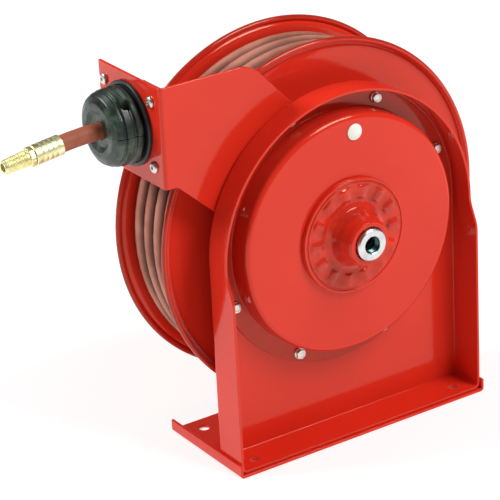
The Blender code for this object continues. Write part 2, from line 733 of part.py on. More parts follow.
def make_guide_screws(guide, steel, drilled):
    """Four domed screws hold the roller frame to the arm's bent end."""
    shank = 0.0025
    corners = ((-0.043, 0.0335), (-0.043, -0.0335), (0.043, 0.0335), (0.043, -0.0335))
    for i, (y, z) in enumerate(corners):
        name = f"guide_screw_{i + 1}"
        bolt(name, steel, guide, (-GAP, y, z), (1, 0, 0), (0.0058, 0.0032), (shank, 0.0085), domed=True)
        hole = rod_cutter(f"guide_hole_{i + 1}", guide, (-0.01, y, z), (0.02, y, z), shank + 0.0006, 8)
        for piece in drilled:
            cut(piece, hole)


# ---------------------------------------------------------------- hose
def run_points():
    """The hose's centre line from the winding's outer layer to the guide, in the object's frame."""
    mouth = GUIDE + Vector((GUIDE_RUN, 0, 0))
    offset = mouth - AXLE
    reach = math.hypot(offset.x, offset.z)
    touch = math.atan2(offset.z, offset.x) - math.acos(WINDING_TOP / reach)
    start = AXLE + WINDING_TOP * Vector((math.cos(touch), 0, math.sin(touch)))
    start.y = HOSE_LEAVES_Y
    slope = Vector((-math.sin(touch), 0, math.cos(touch)))
    length = reach * math.sin(math.acos(WINDING_TOP / reach))
    first = slope * length
    last = Vector((-length, 0, 0))
    points = []
    steps = 16
    for i in range(steps + 1):
        t = i / steps
        h00 = 2 * t**3 - 3 * t**2 + 1
        h10 = t**3 - 2 * t**2 + t
        h01 = -2 * t**3 + 3 * t**2
        h11 = t**3 - t**2
        points.append(start * h00 + first * h10 + mouth * h01 + last * h11)
    return points


def make_hose(reel, spool, hose_end, rubber):
    """The winding as one turned solid, the run from it to the guide, and the tail in the bumper.

    It returns where the ferrule starts on the tail, from the guide.
    """
    inside = WEB_OFFSET - FLANGE_SHEET - 0.0008
    top = WINDING_TOP + HOSE_RADIUS
    bottom = DRUM_RADIUS + GAP
    chamfer = 0.004
    front = SPOOL_MIDDLE - inside
    back = SPOOL_MIDDLE + inside
    profile = [(bottom, front), (top - chamfer, front), (top, front + chamfer), (top, back - chamfer)]
    profile += [(top - chamfer, back), (bottom, back)]
    turned("hose_winding", profile, rubber, spool, segments=ROUND_SPOOL)

    off = top + HOSE_RADIUS + 0.00175
    clear = [point for point in run_points() if math.hypot(point.x, point.z - AXLE_HEIGHT) > off]
    clear.append(Vector((BUMPER_BACK + GAP, GUIDE_Y, GUIDE_Z)))
    tube("hose_run", clear, HOSE_RADIUS, rubber, reel)

    tail = [Vector((BUMPER_BACK - GUIDE_X, 0, 0)), Vector((BUMPER_FRONT - GUIDE_X, 0, 0))]
    steps = 4
    for i in range(1, steps + 1):
        bend = DROOP * i / steps
        tail.append(tail[-1] + Vector((-math.cos(bend), 0, -math.sin(bend))) * STUB_LENGTH / steps)
    grip = Vector((-math.cos(DROOP), 0, -math.sin(DROOP)))
    tube("hose_tail", tail + [tail[-1] + grip * HOSE_IN_FERRULE], HOSE_RADIUS, rubber, hose_end)
    return tail[-1]


def make_bumper(hose_end, rubber, steel):
    """A round stop in two halves, bolted on the hose so that its end can't pass the guide."""
    back = BUMPER_BACK - GUIDE_X
    front = BUMPER_FRONT - GUIDE_X
    bore = HOSE_RADIUS + GAP
    profile = [(bore, back), (BUMPER_RADIUS - 0.006, back)]
    profile += arc((BUMPER_RADIUS - 0.005, back - 0.005), 0.005, 90, 0, 2)
    profile += arc((BUMPER_RADIUS - 0.013, front + 0.013), 0.013, 0, -80, 4)
    profile += [(0.016, front), (bore, front)]
    halves = []
    clearance = 0.4                # degrees left open between the halves at each joint face
    for name, start in (("bumper_upper", clearance), ("bumper_lower", 180 + clearance)):
        half = turned(name, profile, rubber, hose_end, segments=14, sweep=180 - 2 * clearance, start=start)
        half.rotation_euler = (0, 0, math.pi / 2)
        half.scale = (1, -1, 1)
        halves.append(half)
    middle = (back + front) / 2 + 0.002
    seat = 0.019
    bolt_radius = 0.0025
    for i, y in enumerate((-0.023, 0.023)):
        above = (middle, y, 0.05)
        name = f"bumper_bolt_{i + 1}"
        shank_size = (bolt_radius, 0.034)
        bolt(name, steel, hose_end, (middle, y, seat), (0, 0, -1), (0.0048, 0.0035), shank_size)
        bottom = (middle, y, -0.0165)
        shank = rod_cutter(f"bumper_hole_{i + 1}", hose_end, bottom, above, bolt_radius + GAP, 12)
        floor = (middle, y, seat - GAP)
        recess = rod_cutter(f"bumper_recess_{i + 1}", hose_end, floor, above, 0.0058)
        for half in halves:
            cut(half, shank)
        cut(halves[0], recess)


def make_fitting(hose_end, stub_end, brass):
    """The ferrule crimped on the hose, and the brass nipple in it with its collar and tapered thread."""
    tip = empty("fitting_axis", stub_end, hose_end)
    tip.rotation_mode = "QUATERNION"
    turn = Matrix.Rotation(-DROOP, 4, "Y") @ Matrix.Rotation(math.pi / 2, 4, "Z")
    tip.rotation_quaternion = turn.to_quaternion()
    bore = HOSE_RADIUS + GAP
    wall = bore + 0.00135
    length = 0.0305
    turned("ferrule", [(bore, 0.0), (wall, 0.0), (wall, length), (bore, length)], brass, tip, segments=16)
    start = HOSE_IN_FERRULE + GAP
    collar = length + GAP
    nipple = [(0.0, start), (0.0075, start), (0.0075, collar), (0.0098, collar), (0.0098, 0.0362)]
    nipple += [(0.0078, 0.0370), (0.0078, 0.0380), (0.0085, 0.0388), (0.0073, 0.0625), (0.0064, 0.0635)]
    nipple += [(0.0048, 0.0635), (0.0048, 0.0500), (0.0, 0.0500)]
    turned("brass_fitting", nipple, brass, tip, segments=14)


# ---------------------------------------------------------------- the whole reel
def build():
    for old in list(bpy.data.objects):
        bpy.data.objects.remove(old, do_unlink=True)

    red = make_material("red_paint", (0.62, 0.035, 0.022), 0.22, 0.0)
    steel = make_material("zinc_steel", (0.62, 0.60, 0.57), 0.35, 1.0)
    spring_steel = make_material("spring_steel", (0.22, 0.24, 0.28), 0.35, 1.0)
    bronze = make_material("bronze", (0.50, 0.33, 0.16), 0.4, 1.0)
    brass = make_material("brass", (0.72, 0.58, 0.26), 0.28, 1.0)
    black = make_material("black_plastic", (0.02, 0.025, 0.025), 0.45, 0.0)
    bumper = make_material("bumper_rubber", (0.045, 0.06, 0.05), 0.6, 0.0)
    hose = make_material("hose_rubber", (0.30, 0.11, 0.06), 0.55, 0.0)
    cream = make_material("cream_plastic", (0.80, 0.72, 0.58), 0.4, 0.0)
    seal_rubber = make_material("seal_rubber", (0.015, 0.015, 0.015), 0.6, 0.0)

    reel = empty("reel", (0, 0, 0))
    axle = empty("axle", AXLE, reel)
    spool = empty("spool", AXLE, reel)
    swivel = empty("swivel", AXLE, reel)
    guide = empty("guide", GUIDE, reel)
    hose_end = empty("hose_end", GUIDE, reel)
    pawl_axis = empty("pawl_axis", (PAWL_PIVOT[0], 0, PAWL_PIVOT[1]), axle)

    make_base(reel, red)
    pedestal = make_pedestal(reel, red)
    case = make_case(axle, red)
    arm = make_arm(reel, red)
    make_case_screws(axle, steel, [pedestal, case, arm])
    make_plug(axle, cream)
    make_front_housing(axle, red)
    make_bushes(axle, bronze)
    make_rear_housing(axle, steel)
    make_power_spring(axle, spring_steel)

    make_shaft(spool, steel)
    make_arbor(spool, steel)
    make_swivel(swivel, spool, steel, seal_rubber)
    make_spool(spool, red, steel, brass)
    make_ratchet(spool, steel)
    make_latch(axle, pawl_axis, steel, spring_steel)

    make_bezel(guide, black)
    frame = make_roller_frame(reel, black)
    make_rollers(guide, frame, black, steel)
    make_guide_screws(guide, steel, [arm, frame])

    stub_end = make_hose(reel, spool, hose_end, hose)
    make_bumper(hose_end, bumper, steel)
    make_fitting(hose_end, stub_end, brass)


build()
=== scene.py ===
"""Looks for the spring-rewind hose reel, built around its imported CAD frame.

Metres, +Z up, +X to the right, front towards -Y. The spool turns about Y and the hose leaves towards
-X. Each section makes the pieces that stand for some CAD nodes, places them from those nodes' boxes,
and rides them on their bodies. The nodes that stay get a finer material and, where they have hard
edges, a bevel.
"""

import math

import bmesh
import bpy
from mathutils import Matrix, Vector


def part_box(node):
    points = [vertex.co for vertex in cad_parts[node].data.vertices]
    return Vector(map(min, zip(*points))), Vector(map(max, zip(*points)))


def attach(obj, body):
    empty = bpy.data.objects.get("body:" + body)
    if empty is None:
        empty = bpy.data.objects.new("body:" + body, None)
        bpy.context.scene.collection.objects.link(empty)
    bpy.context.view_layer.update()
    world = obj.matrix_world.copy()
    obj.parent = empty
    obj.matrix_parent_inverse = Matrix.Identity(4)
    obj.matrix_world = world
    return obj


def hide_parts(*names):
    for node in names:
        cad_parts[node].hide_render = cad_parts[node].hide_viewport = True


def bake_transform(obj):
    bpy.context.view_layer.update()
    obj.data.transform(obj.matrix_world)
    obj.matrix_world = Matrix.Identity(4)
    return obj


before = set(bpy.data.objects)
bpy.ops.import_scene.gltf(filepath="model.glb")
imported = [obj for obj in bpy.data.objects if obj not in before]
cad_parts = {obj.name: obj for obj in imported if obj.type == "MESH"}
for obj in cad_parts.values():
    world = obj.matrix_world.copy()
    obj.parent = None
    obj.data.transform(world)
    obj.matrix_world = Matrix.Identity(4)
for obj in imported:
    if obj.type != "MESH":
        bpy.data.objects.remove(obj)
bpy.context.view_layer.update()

X = Vector((1, 0, 0))
Y = Vector((0, 1, 0))
Z = Vector((0, 0, 1))


# ---------------------------------------------------------------- sizes read from the frame
def low(node):
    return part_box(node)[0]


def high(node):
    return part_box(node)[1]


def middle(node):
    return (low(node) + high(node)) / 2


GAP = 0.0003                      # between touching pieces
SHEET = 0.003                     # base, pedestal and arm sheet
BEND = 0.004                      # outer radius of a bend in the sheet
BOLT_X = 0.127                    # base bolt holes to each side of the middle
BOLT_Y = 0.047                    # and to its front and back
BOLT_HOLE = 0.0055
ARCH_FRONT = -0.052               # front edge of the pedestal's flange round the arch
CASE_RADIUS = 0.127               # wall of the spring case
SCREW_TURN = math.radians(17)     # each case screw's head is turned on from the last
SHAFT_BORE = 0.0128               # of the pieces that sit on the shaft

AXLE = Vector((0, 0, middle("main_shaft").z))
GUIDE_FACE = low("guide_arm").x
GUIDE_AT = Vector((GUIDE_FACE, middle("roller_frame").y, middle("roller_frame").z))

HOSE_RADIUS = 0.00875
HOSE_LEAVES_Y = 0.0145            # where the hose leaves the winding
GUIDE_RUN = 0.036                 # how far behind the guide the hose is already straight
STUB_LENGTH = 0.0415              # hose between the bumper and the ferrule
HOSE_IN_FERRULE = 0.027
DROOP = math.radians(7)           # how far the stub bends down
WINDING_SLACK = 0.0028            # how much higher the outer layer lies than in a tight winding
WINDING_TOP = high("hose_winding").x - HOSE_RADIUS + WINDING_SLACK
DRUM_RADIUS = high("drum").x
LAYERS = 4


# ---------------------------------------------------------------- materials
class Surface:
    """A Principled material with helpers for procedural nodes. Places are the object's own."""

    def __init__(self, name, colour, roughness, metallic=0.0):
        self.material = bpy.data.materials.new(name)
        self.material.use_nodes = True
        self.tree = self.material.node_tree
        self.shader = self.tree.nodes["Principled BSDF"]
        self.set("Base Color", (*colour, 1))
        self.set("Roughness", roughness)
        self.set("Metallic", metallic)
        self.place = self.add("ShaderNodeTexCoord").outputs["Object"]
        self.height = None

    def set(self, socket, value):
        self.shader.inputs[socket].default_value = value

    def add(self, kind, links=(), **settings):
        made = self.tree.nodes.new(kind)
        for key, value in settings.items():
            if hasattr(made, key):
                setattr(made, key, value)
            else:
                made.inputs[key.replace("_", " ")].default_value = value
        for socket, source in dict(links).items():
            self.tree.links.new(source, made.inputs[socket])
        return made

    def stretched(self, scale, source=None):
        """Places scaled by a factor for each axis."""
        links = {"Vector": source or self.place}
        return self.add("ShaderNodeMapping", links, Scale=scale).outputs["Vector"]

    def noise(self, scale, detail=3.0, roughness=0.5, source=None):
        links = {"Vector": source or self.place}
        made = self.add("ShaderNodeTexNoise", links, Scale=scale, Detail=detail, Roughness=roughness)
        return made.outputs["Fac"]

    def from_axle(self):
        """The distance from the axle's line, in metres."""
        shifted = self.add("ShaderNodeVectorMath", {0: self.place}, operation="SUBTRACT")
        shifted.inputs[1].default_value = AXLE
        flat = self.add("ShaderNodeVectorMath", {0: shifted.outputs["Vector"]}, operation="MULTIPLY")
        flat.inputs[1].default_value = (1, 0, 1)
        length = self.add("ShaderNodeVectorMath", {0: flat.outputs["Vector"]}, operation="LENGTH")
        return length.outputs["Value"]

    def between(self, source, low_value, high_value, start=0.3, end=0.7):
        """The source from start to end, turned into a number from low_value to high_value."""
        made = self.add("ShaderNodeMapRange", {"Value": source})
        ends = {"From Min": start, "From Max": end, "To Min": low_value, "To Max": high_value}
        for key, value in ends.items():
            made.inputs[key].default_value = value
        return made.outputs["Result"]

    def colours(self, source, stops):
        """A colour ramp of (position, colour) stops."""
        made = self.add("ShaderNodeValToRGB", {"Fac": source})
        ramp = made.color_ramp
        while len(ramp.elements) < len(stops):
            ramp.elements.new(0.5)
        for element, (position, colour) in zip(ramp.elements, stops):
            element.position = position
            element.color = (*colour, 1)
        return made.outputs["Color"]

    def mixed(self, cover, under, over):
        """The colour under, turned to the colour over where cover is 1."""
        made = self.add("ShaderNodeMix", data_type="RGBA")
        made.inputs[7].default_value = (*over, 1)
        self.tree.links.new(cover, made.inputs[0])
        self.tree.links.new(under, made.inputs[6])
        return made.outputs[2]

    def wire(self, source, socket):
        self.tree.links.new(source, self.shader.inputs[socket])

    def tinted(self, source, dark, light):
        """The base colour: dark where the source is low, and light where it is high."""
        self.wire(self.colours(source, [(0.3, dark), (0.7, light)]), "Base Color")

    def roughened(self, source, low_value, high_value):
        self.wire(self.between(source, low_value, high_value), "Roughness")

    def bump(self, source, distance, strength=1.0):
        """Adds a bump on top of those already made. distance is the real height in metres."""
        links = {"Height": source}
        if self.height is not None:
            links["Normal"] = self.height
        made = self.add("ShaderNodeBump", links, Distance=distance, Strength=strength)
        self.height = made.outputs["Normal"]
        self.wire(self.height, "Normal")


def red_paint(name, painted_shade_band=None, even=0.0, shade_strength=0.8):
    """A thick glossy powder coat with orange peel.

    A dark brown painted shade lies between two distances from the axle: evenly at even = 1, and in
    patches at 0.
    """
    s = Surface(name, (0.71, 0.028, 0.013), 0.10)
    cloud = s.noise(9, 4)
    paint = s.colours(cloud, [(0.3, (0.68, 0.025, 0.011)), (0.7, (0.74, 0.031, 0.014))])
    if painted_shade_band:
        edge = 0.0012
        distance = s.from_axle()
        outside = s.between(distance, 0.0, 1.0, painted_shade_band[0], painted_shade_band[0] + edge)
        inside = s.between(distance, shade_strength, 0.0, painted_shade_band[1] - edge, painted_shade_band[1])
        patches = s.between(s.noise(75, 6, 0.65), even, 1.0, 0.36, 0.66)
        zone = s.add("ShaderNodeMath", {0: outside, 1: inside}, operation="MULTIPLY").outputs["Value"]
        cover = s.add("ShaderNodeMath", {0: zone, 1: patches}, operation="MULTIPLY").outputs["Value"]
        # painted shade: a dark brown mixed into the paint in that band
        paint = s.mixed(cover, paint, (0.15, 0.024, 0.014))
    s.wire(paint, "Base Color")
    s.roughened(s.noise(60, 5), 0.07, 0.13)
    s.set("Specular Tint", (1.0, 0.92, 0.74, 1))
    s.set("IOR", 1.42)
    s.bump(s.noise(520, 2), 0.00003)
    s.bump(s.noise(85, 1), 0.00005)
    return s.material


def zinc_steel():
    """Bright zinc plate with a faint yellow and grey cloud."""
    s = Surface("zinc_steel", (0.70, 0.68, 0.64), 0.3, 1.0)
    cloud = s.noise(140, 4)
    s.tinted(cloud, (0.60, 0.59, 0.56), (0.80, 0.77, 0.70))
    s.roughened(s.noise(420, 3), 0.22, 0.40)
    s.bump(s.noise(1800, 2), 0.00002)
    return s.material


def turned_steel():
    """Machined steel with fine turning marks round the Y axis."""
    s = Surface("turned_steel", (0.66, 0.66, 0.66), 0.25, 1.0)
    marks = s.noise(900, 2, source=s.stretched((0.15, 4, 0.15)))
    s.tinted(marks, (0.56, 0.56, 0.57), (0.74, 0.74, 0.73))
    s.roughened(s.noise(260, 3), 0.18, 0.34)
    s.bump(marks, 0.00003)
    return s.material


def shaded_thread_steel():
    """The inside of a pipe thread: steel made dark teal, a painted shade for the deep bore."""
    s = Surface("shaded_thread_steel", (0.05, 0.12, 0.11), 0.3, 1.0)
    s.tinted(s.noise(300, 4), (0.02, 0.07, 0.065), (0.10, 0.20, 0.18))
    s.roughened(s.noise(600, 3), 0.22, 0.45)
    s.bump(s.noise(1500, 2), 0.00003)
    return s.material


def spring_steel():
    """Blued strip with a rolled grain."""
    s = Surface("spring_steel", (0.20, 0.23, 0.30), 0.32, 1.0)
    s.tinted(s.noise(70, 4), (0.13, 0.15, 0.21), (0.27, 0.29, 0.34))
    s.roughened(s.noise(500, 3), 0.25, 0.45)
    s.bump(s.noise(1500, 2), 0.00002)
    return s.material


def bronze():
    """Sintered bronze with open pores."""
    s = Surface("bronze", (0.50, 0.33, 0.16), 0.4, 1.0)
    pores = s.noise(2200, 3)
    s.wire(s.colours(pores, [(0.35, (0.30, 0.19, 0.09)), (0.55, (0.56, 0.38, 0.19))]), "Base Color")
    s.roughened(pores, 0.55, 0.32)
    s.bump(pores, 0.00004)
    return s.material


def brass():
    """Turned yellow brass, a little tarnished."""
    s = Surface("brass", (0.90, 0.85, 0.48), 0.42, 1.0)
    tarnish = s.noise(110, 5)
    s.tinted(tarnish, (0.84, 0.78, 0.38), (0.96, 0.92, 0.58))
    s.roughened(s.noise(300, 3), 0.36, 0.50)
    s.bump(s.noise(700, 2), 0.00001)
    return s.material


def black_plastic():
    """Moulded nylon with a fine spark-eroded grain."""
    s = Surface("black_plastic", (0.018, 0.020, 0.021), 0.42)
    s.tinted(s.noise(60, 4), (0.012, 0.014, 0.015), (0.026, 0.028, 0.029))
    s.roughened(s.noise(900, 3), 0.34, 0.52)
    s.bump(s.noise(2600, 2), 0.00004)
    return s.material


def bumper_rubber():
    """Dark green-black rubber with bloom and a moulded grain."""
    s = Surface("bumper_rubber", (0.030, 0.045, 0.038), 0.45)
    bloom = s.noise(55, 6, 0.6)
    stops = [
        (0.34, (0.005, 0.010, 0.008)),
        (0.52, (0.019, 0.037, 0.026)),
        (0.68, (0.070, 0.108, 0.078)),
    ]
    s.wire(s.colours(bloom, stops), "Base Color")
    s.roughened(s.noise(160, 4), 0.22, 0.46)
    s.bump(s.noise(1300, 3), 0.00005)
    s.bump(s.noise(90, 2), 0.0004)
    return s.material


def hose_rubber(name, crest=None):
    """A red-brown cover with the print of its cloth wrap.

    With crest, the outer radius of the winding, the turns get a painted highlight there and painted shade
    between them.
    """
    s = Surface(name, (0.34, 0.088, 0.046), 0.5)
    s.set("Specular IOR Level", 0.3)
    turns = s.add("ShaderNodeUVMap", uv_map="along").outputs["UV"]
    wrap = s.add("ShaderNodeTexWave", {"Vector": turns}, Scale=150.0, Distortion=0.4, Detail=2.0)
    dust_and_painted_light = s.noise(26, 5)
    stops = [(0.28, (0.25, 0.060, 0.030)), (0.5, (0.34, 0.088, 0.046)), (0.75, (0.43, 0.135, 0.080))]
    if crest:
        outer = s.between(s.from_axle(), -0.24, 0.15, crest - 0.0056, crest - 0.0003)
        dust_and_painted_light = s.add("ShaderNodeMath", {0: s.between(dust_and_painted_light, 0.41, 0.59), 1: outer}).outputs["Value"]
        # near-black painted shade between the turns, and a pale painted highlight on their crests
        stops = [
            (0.27, (0.055, 0.017, 0.010)),
            (0.5, (0.24, 0.075, 0.046)),
            (0.68, (0.51, 0.215, 0.150)),
        ]
    s.wire(s.colours(dust_and_painted_light, stops), "Base Color")
    s.roughened(s.noise(300, 3), 0.42, 0.62)
    s.bump(wrap.outputs["Fac"], 0.00012)
    s.bump(s.noise(1500, 3), 0.00005)
    return s.material


def cream_plastic():
    """A cream push-in plug."""
    s = Surface("cream_plastic", (0.93, 0.90, 0.80), 0.3)
    s.tinted(s.noise(240, 4), (0.89, 0.85, 0.74), (0.95, 0.93, 0.85))
    s.roughened(s.noise(500, 3), 0.24, 0.40)
    s.set("Subsurface Weight", 0.05)
    s.bump(s.noise(1500, 2), 0.00002)
    return s.material


def seal_rubber():
    """A greased black O-ring."""
    s = Surface("seal_rubber", (0.012, 0.016, 0.016), 0.35)
    s.tinted(s.noise(800, 3), (0.008, 0.012, 0.012), (0.022, 0.030, 0.030))
    s.bump(s.noise(2500, 2), 0.00003)
    return s.material


RED = red_paint("red_paint")
# painted shade: the case's wall and rim, deep in the groove inside the pedestal's flange, darkened brown
SHADED_GROOVE_PAINT = red_paint("red_paint_with_painted_shade_in_groove", (CASE_RADIUS - 0.0015, 0.2), 0.75, 0.36)
# painted shade: the flanges' rolled rims darkened brown
SHADED_RIM_PAINT = red_paint("red_paint_with_painted_shade_on_rim", (high("near_flange").x - 0.0026, 0.3), 0.7, 0.6)
# painted shade: the housing's boss and ribbed face darkened brown in patches
SHADED_CASTING_PAINT = red_paint("red_paint_with_painted_shade_on_casting", (0.0265, 0.0585), 0.0, 0.48)
ZINC = zinc_steel()
STEEL = turned_steel()
THREAD_SHADE_STEEL = shaded_thread_steel()
SPRING = spring_steel()
BRONZE = bronze()
BRASS = brass()
BLACK = black_plastic()
BUMPER = bumper_rubber()
HOSE = hose_rubber("hose_rubber")
# the winding carries a painted highlight on its crests and painted shade between its turns
WOUND = hose_rubber("wound_hose_rubber", WINDING_TOP + HOSE_RADIUS)
CREAM = cream_plastic()
SEAL = seal_rubber()


# ---------------------------------------------------------------- shape helpers
def arc(centre, radius, first, last, steps):
    """Points of an arc, angles in degrees."""
    angles = [math.radians(first + (last - first) * i / steps) for i in range(steps + 1)]
    return [(centre[0] + radius * math.cos(a), centre[1] + radius * math.sin(a)) for a in angles]


def filleted(corners, steps=4):
    """A closed outline. Each corner is (x, y) or (x, y, radius of its fillet)."""
    points = []
    count = len(corners)
    for i, corner in enumerate(corners):
        here = Vector(corner[:2])
        radius = corner[2] if len(corner) > 2 else 0.0
        if radius <= 0:
            points.append(tuple(here))
            continue
        back = (Vector(corners[i - 1][:2]) - here).normalized()
        onward = (Vector(corners[(i + 1) % count][:2]) - here).normalized()
        half = back.angle(onward) / 2
        reach = radius / math.tan(half)
        centre = here + (back + onward).normalized() * (radius / math.sin(half))
        first = here + back * reach - centre
        last = here + onward * reach - centre
        turn = first.angle_signed(last)
        for step in range(steps + 1):
            angle = -turn * step / steps
            rotated = Vector(
                (
                    first.x * math.cos(angle) - first.y * math.sin(angle),
                    first.x * math.sin(angle) + first.y * math.cos(angle),
                )
            )
            points.append(tuple(centre + rotated))
    return points


def bridge(loops, closed_profile=True, closed_path=True, caps=False):
    """A bmesh of quads between neighbouring loops of points, with n-gon caps if asked."""
    data = bmesh.new()
    rings = [[data.verts.new(point) for point in loop] for loop in loops]
    pairs = len(rings) if closed_path else len(rings) - 1
    for i in range(pairs):
        here = rings[i]
        there = rings[(i + 1) % len(rings)]
        sides = len(here) if closed_profile else len(here) - 1
        for j in range(sides):
            k = (j + 1) % len(here)
            data.faces.new((here[j], here[k], there[k], there[j]))
    if caps:
        data.faces.new(rings[0])
        data.faces.new(rings[-1])
    return data


def basis(direction):
    """Three axes: two across a direction, and the direction."""
    along = Vector(direction).normalized()
    first = X if abs(along.x) < 0.5 else Y
    across = (first - along * first.dot(along)).normalized()
    other = along.cross(across)
    if other.z < 0:
        other.negate()
    return across, other, along


def turned(profile, origin, direction=Y, segments=96, sweep=360.0, start=0.0, lift=None):
    """A closed (radius, along) profile turned about an axis.

    lift(share of the turn, radius, along) may raise a point along the axis.
    """
    across, other, along = basis(direction)
    whole = sweep >= 360
    loops = []
    for i in range(segments if whole else segments + 1):
        angle = math.radians(start + sweep * i / segments)
        out = across * math.cos(angle) + other * math.sin(angle)
        loop = []
        for radius, depth in profile:
            raised = depth + (lift(i / segments, radius, depth) if lift else 0.0)
            loop.append(Vector(origin) + out * radius + along * raised)
        loops.append(loop)
    data = bridge(loops, closed_path=whole, caps=not whole)
    bmesh.ops.remove_doubles(data, verts=data.verts, dist=1e-7)
    return data


def extruded(outline, first, last, axis="Y"):
    """An outline of (x, z) points along Y, or (y, z) points along X, or (x, y) points along Z."""
    place = {
        "Y": lambda p, depth: (p[0], depth, p[1]),
        "X": lambda p, depth: (depth, p[0], p[1]),
        "Z": lambda p, depth: (p[0], p[1], depth),
    }[axis]
    loops = [[place(p, first) for p in outline], [place(p, last) for p in outline]]
    return bridge(loops, closed_path=False, caps=True)


def swept(path, radius, sides=20):
    """A round tube along a path, with a UV map of metres along and turns round."""
    points = [Vector(p) for p in path]
    data = bmesh.new()
    layer = data.loops.layers.uv.new("along")
    tangent = (points[1] - points[0]).normalized()
    across = basis(tangent)[0]
    rings = []
    lengths = []
    length = 0.0
    for i, point in enumerate(points):
        before = points[max(i - 1, 0)]
        after = points[min(i + 1, len(points) - 1)]
        turn = tangent.rotation_difference((after - before).normalized())
        across = (turn @ across).normalized()
        tangent = (after - before).normalized()
        other = tangent.cross(across)
        length += (point - before).length
        lengths.append(length)
        row = []
        for j in range(sides):
            angle = math.tau * j / sides
            out = across * math.cos(angle) + other * math.sin(angle)
            row.append(data.verts.new(point + radius * out))
        rings.append(row)
    for i in range(len(rings) - 1):
        for j in range(sides):
            k = (j + 1) % sides
            face = data.faces.new((rings[i][j], rings[i][k], rings[i + 1][k], rings[i + 1][j]))
            marks = ((i, j), (i, j + 1), (i + 1, j + 1), (i + 1, j))
            for loop, (along, around) in zip(face.loops, marks):
                loop[layer].uv = (lengths[along], around / sides)
    data.faces.new(rings[0])
    data.faces.new(rings[-1])
    return data


def ring(origin, axes, steps, radius, depth):
    """A loop round an axis. The radius may depend on the angle, and the depth on that radius."""
    across, other, along = axes
    loop = []
    for i in range(steps):
        angle = math.tau * i / steps
        reach = radius(angle) if callable(radius) else radius
        place = depth(reach) if callable(depth) else depth
        out = across * math.cos(angle) + other * math.sin(angle)
        loop.append(Vector(origin) + out * reach + along * place)
    return loop


def hexagon(apothem):
    """A hexagon's radius, depending on the angle."""
    return lambda angle: apothem / math.cos((angle % (math.pi / 3)) - math.pi / 6)


def hexagon_head(origin, direction, across_flats, height, washer=None):
    """A hexagon head with a round chamfer, on an optional flange of (radius, height)."""
    apothem = across_flats / 2
    flats = hexagon(apothem)
    chamfer = apothem * 0.94
    thick = washer[1] if washer else 0.0
    top = -(thick + height)
    rows = [(flats, 0.0)]
    if washer:
        wide = washer[0]
        rows = [(wide, 0.0), (wide, -thick * 0.55), (wide * 0.94, -thick), (flats, -thick - 0.0002)]
    rows += [
        (flats, lambda reach: top + (reach - chamfer) * 0.55),
        (chamfer, top),
        (apothem * 0.62, top),
        (apothem * 0.56, top + 0.0003),
    ]
    loops = [ring(origin, basis(direction), 48, *row) for row in rows]
    return bridge(loops, closed_path=False, caps=True)


def dome(radius, height):
    """(radius, depth) points of a domed head, from near its top to its edge."""
    angles = [math.radians(degrees) for degrees in range(15, 91, 15)]
    return [(radius * math.sin(a), height * (1 - math.cos(a))) for a in angles]


def piece(name, data, material, body, *replaced, smooth=32):
    """An object from a bmesh, riding on a body and standing for some CAD nodes."""
    bmesh.ops.recalc_face_normals(data, faces=data.faces)
    mesh = bpy.data.meshes.new(name)
    data.to_mesh(mesh)
    data.free()
    mesh.shade_smooth()
    mesh.set_sharp_from_angle(angle=math.radians(smooth))
    mesh.materials.append(material)
    made = bpy.data.objects.new(name, mesh)
    bpy.context.scene.collection.objects.link(made)
    if body:
        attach(made, body)
    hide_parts(*replaced)
    return made


def drill(made, start, end, radius, sides=48):
    """Cuts a round hole between two points."""
    axes = basis(Vector(end) - Vector(start))
    loops = [ring(place, axes, sides, radius, 0.0) for place in (start, end)]
    data = bridge(loops, closed_path=False, caps=True)
    bmesh.ops.recalc_face_normals(data, faces=data.faces)
    mesh = bpy.data.meshes.new("cutter")
    data.to_mesh(mesh)
    data.free()
    cutter = bpy.data.objects.new("cutter", mesh)
    bpy.context.scene.collection.objects.link(cutter)
    modifier = made.modifiers.new("hole", "BOOLEAN")
    modifier.operation = "DIFFERENCE"
    modifier.solver = "EXACT"
    modifier.object = cutter
    bpy.context.view_layer.update()
    graph = bpy.context.evaluated_depsgraph_get()
    result = bpy.data.meshes.new_from_object(made.evaluated_get(graph))
    made.modifiers.remove(modifier)
    made.data = result
    bpy.data.objects.remove(cutter)
    made.data.shade_smooth()
    made.data.set_sharp_from_angle(angle=math.radians(32))


def soften(made, width, segments=2, angle=40):
    """Rounds the hard edges and keeps large flat faces flat."""
    bevel = made.modifiers.new("round_edges", "BEVEL")
    bevel.width = width
    bevel.segments = segments
    bevel.limit_method = "ANGLE"
    bevel.angle_limit = math.radians(angle)
    bevel.use_clamp_overlap = True
    normals = made.modifiers.new("flat_faces", "WEIGHTED_NORMAL")
    normals.weight = 60
    normals.keep_sharp = True


def keep(node, material, width=0.0):
    """A CAD node that stays, with a better material and rounded edges."""
    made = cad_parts[node]
    made.data.materials.clear()
    made.data.materials.append(material)
    if width:
        soften(made, width)
    return made


# ---------------------------------------------------------------- base and pedestal
def make_base():
    """A sheet with both ends turned up and four bolt holes."""
    lo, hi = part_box("base_plate")
    inner = BEND - SHEET
    right = [(hi.x, hi.z), (hi.x - SHEET, hi.z)]
    right += arc((hi.x - BEND, BEND), inner, 0, -90, 5)
    under = arc((hi.x - BEND, BEND), BEND, -90, 0, 10)
    mirrored = [(-x, z) for x, z in reversed(under)]
    outline = right + [(-x, z) for x, z in reversed(right)] + mirrored + under
    base = piece("base", extruded(outline, lo.y, hi.y), RED, "frame", "base_plate")
    for x in (-BOLT_X, BOLT_X):
        for y in (-BOLT_Y, BOLT_Y):
            drill(base, (x, y, -0.01), (x, y, 0.01), BOLT_HOLE)
    soften(base, 0.0007, 3)


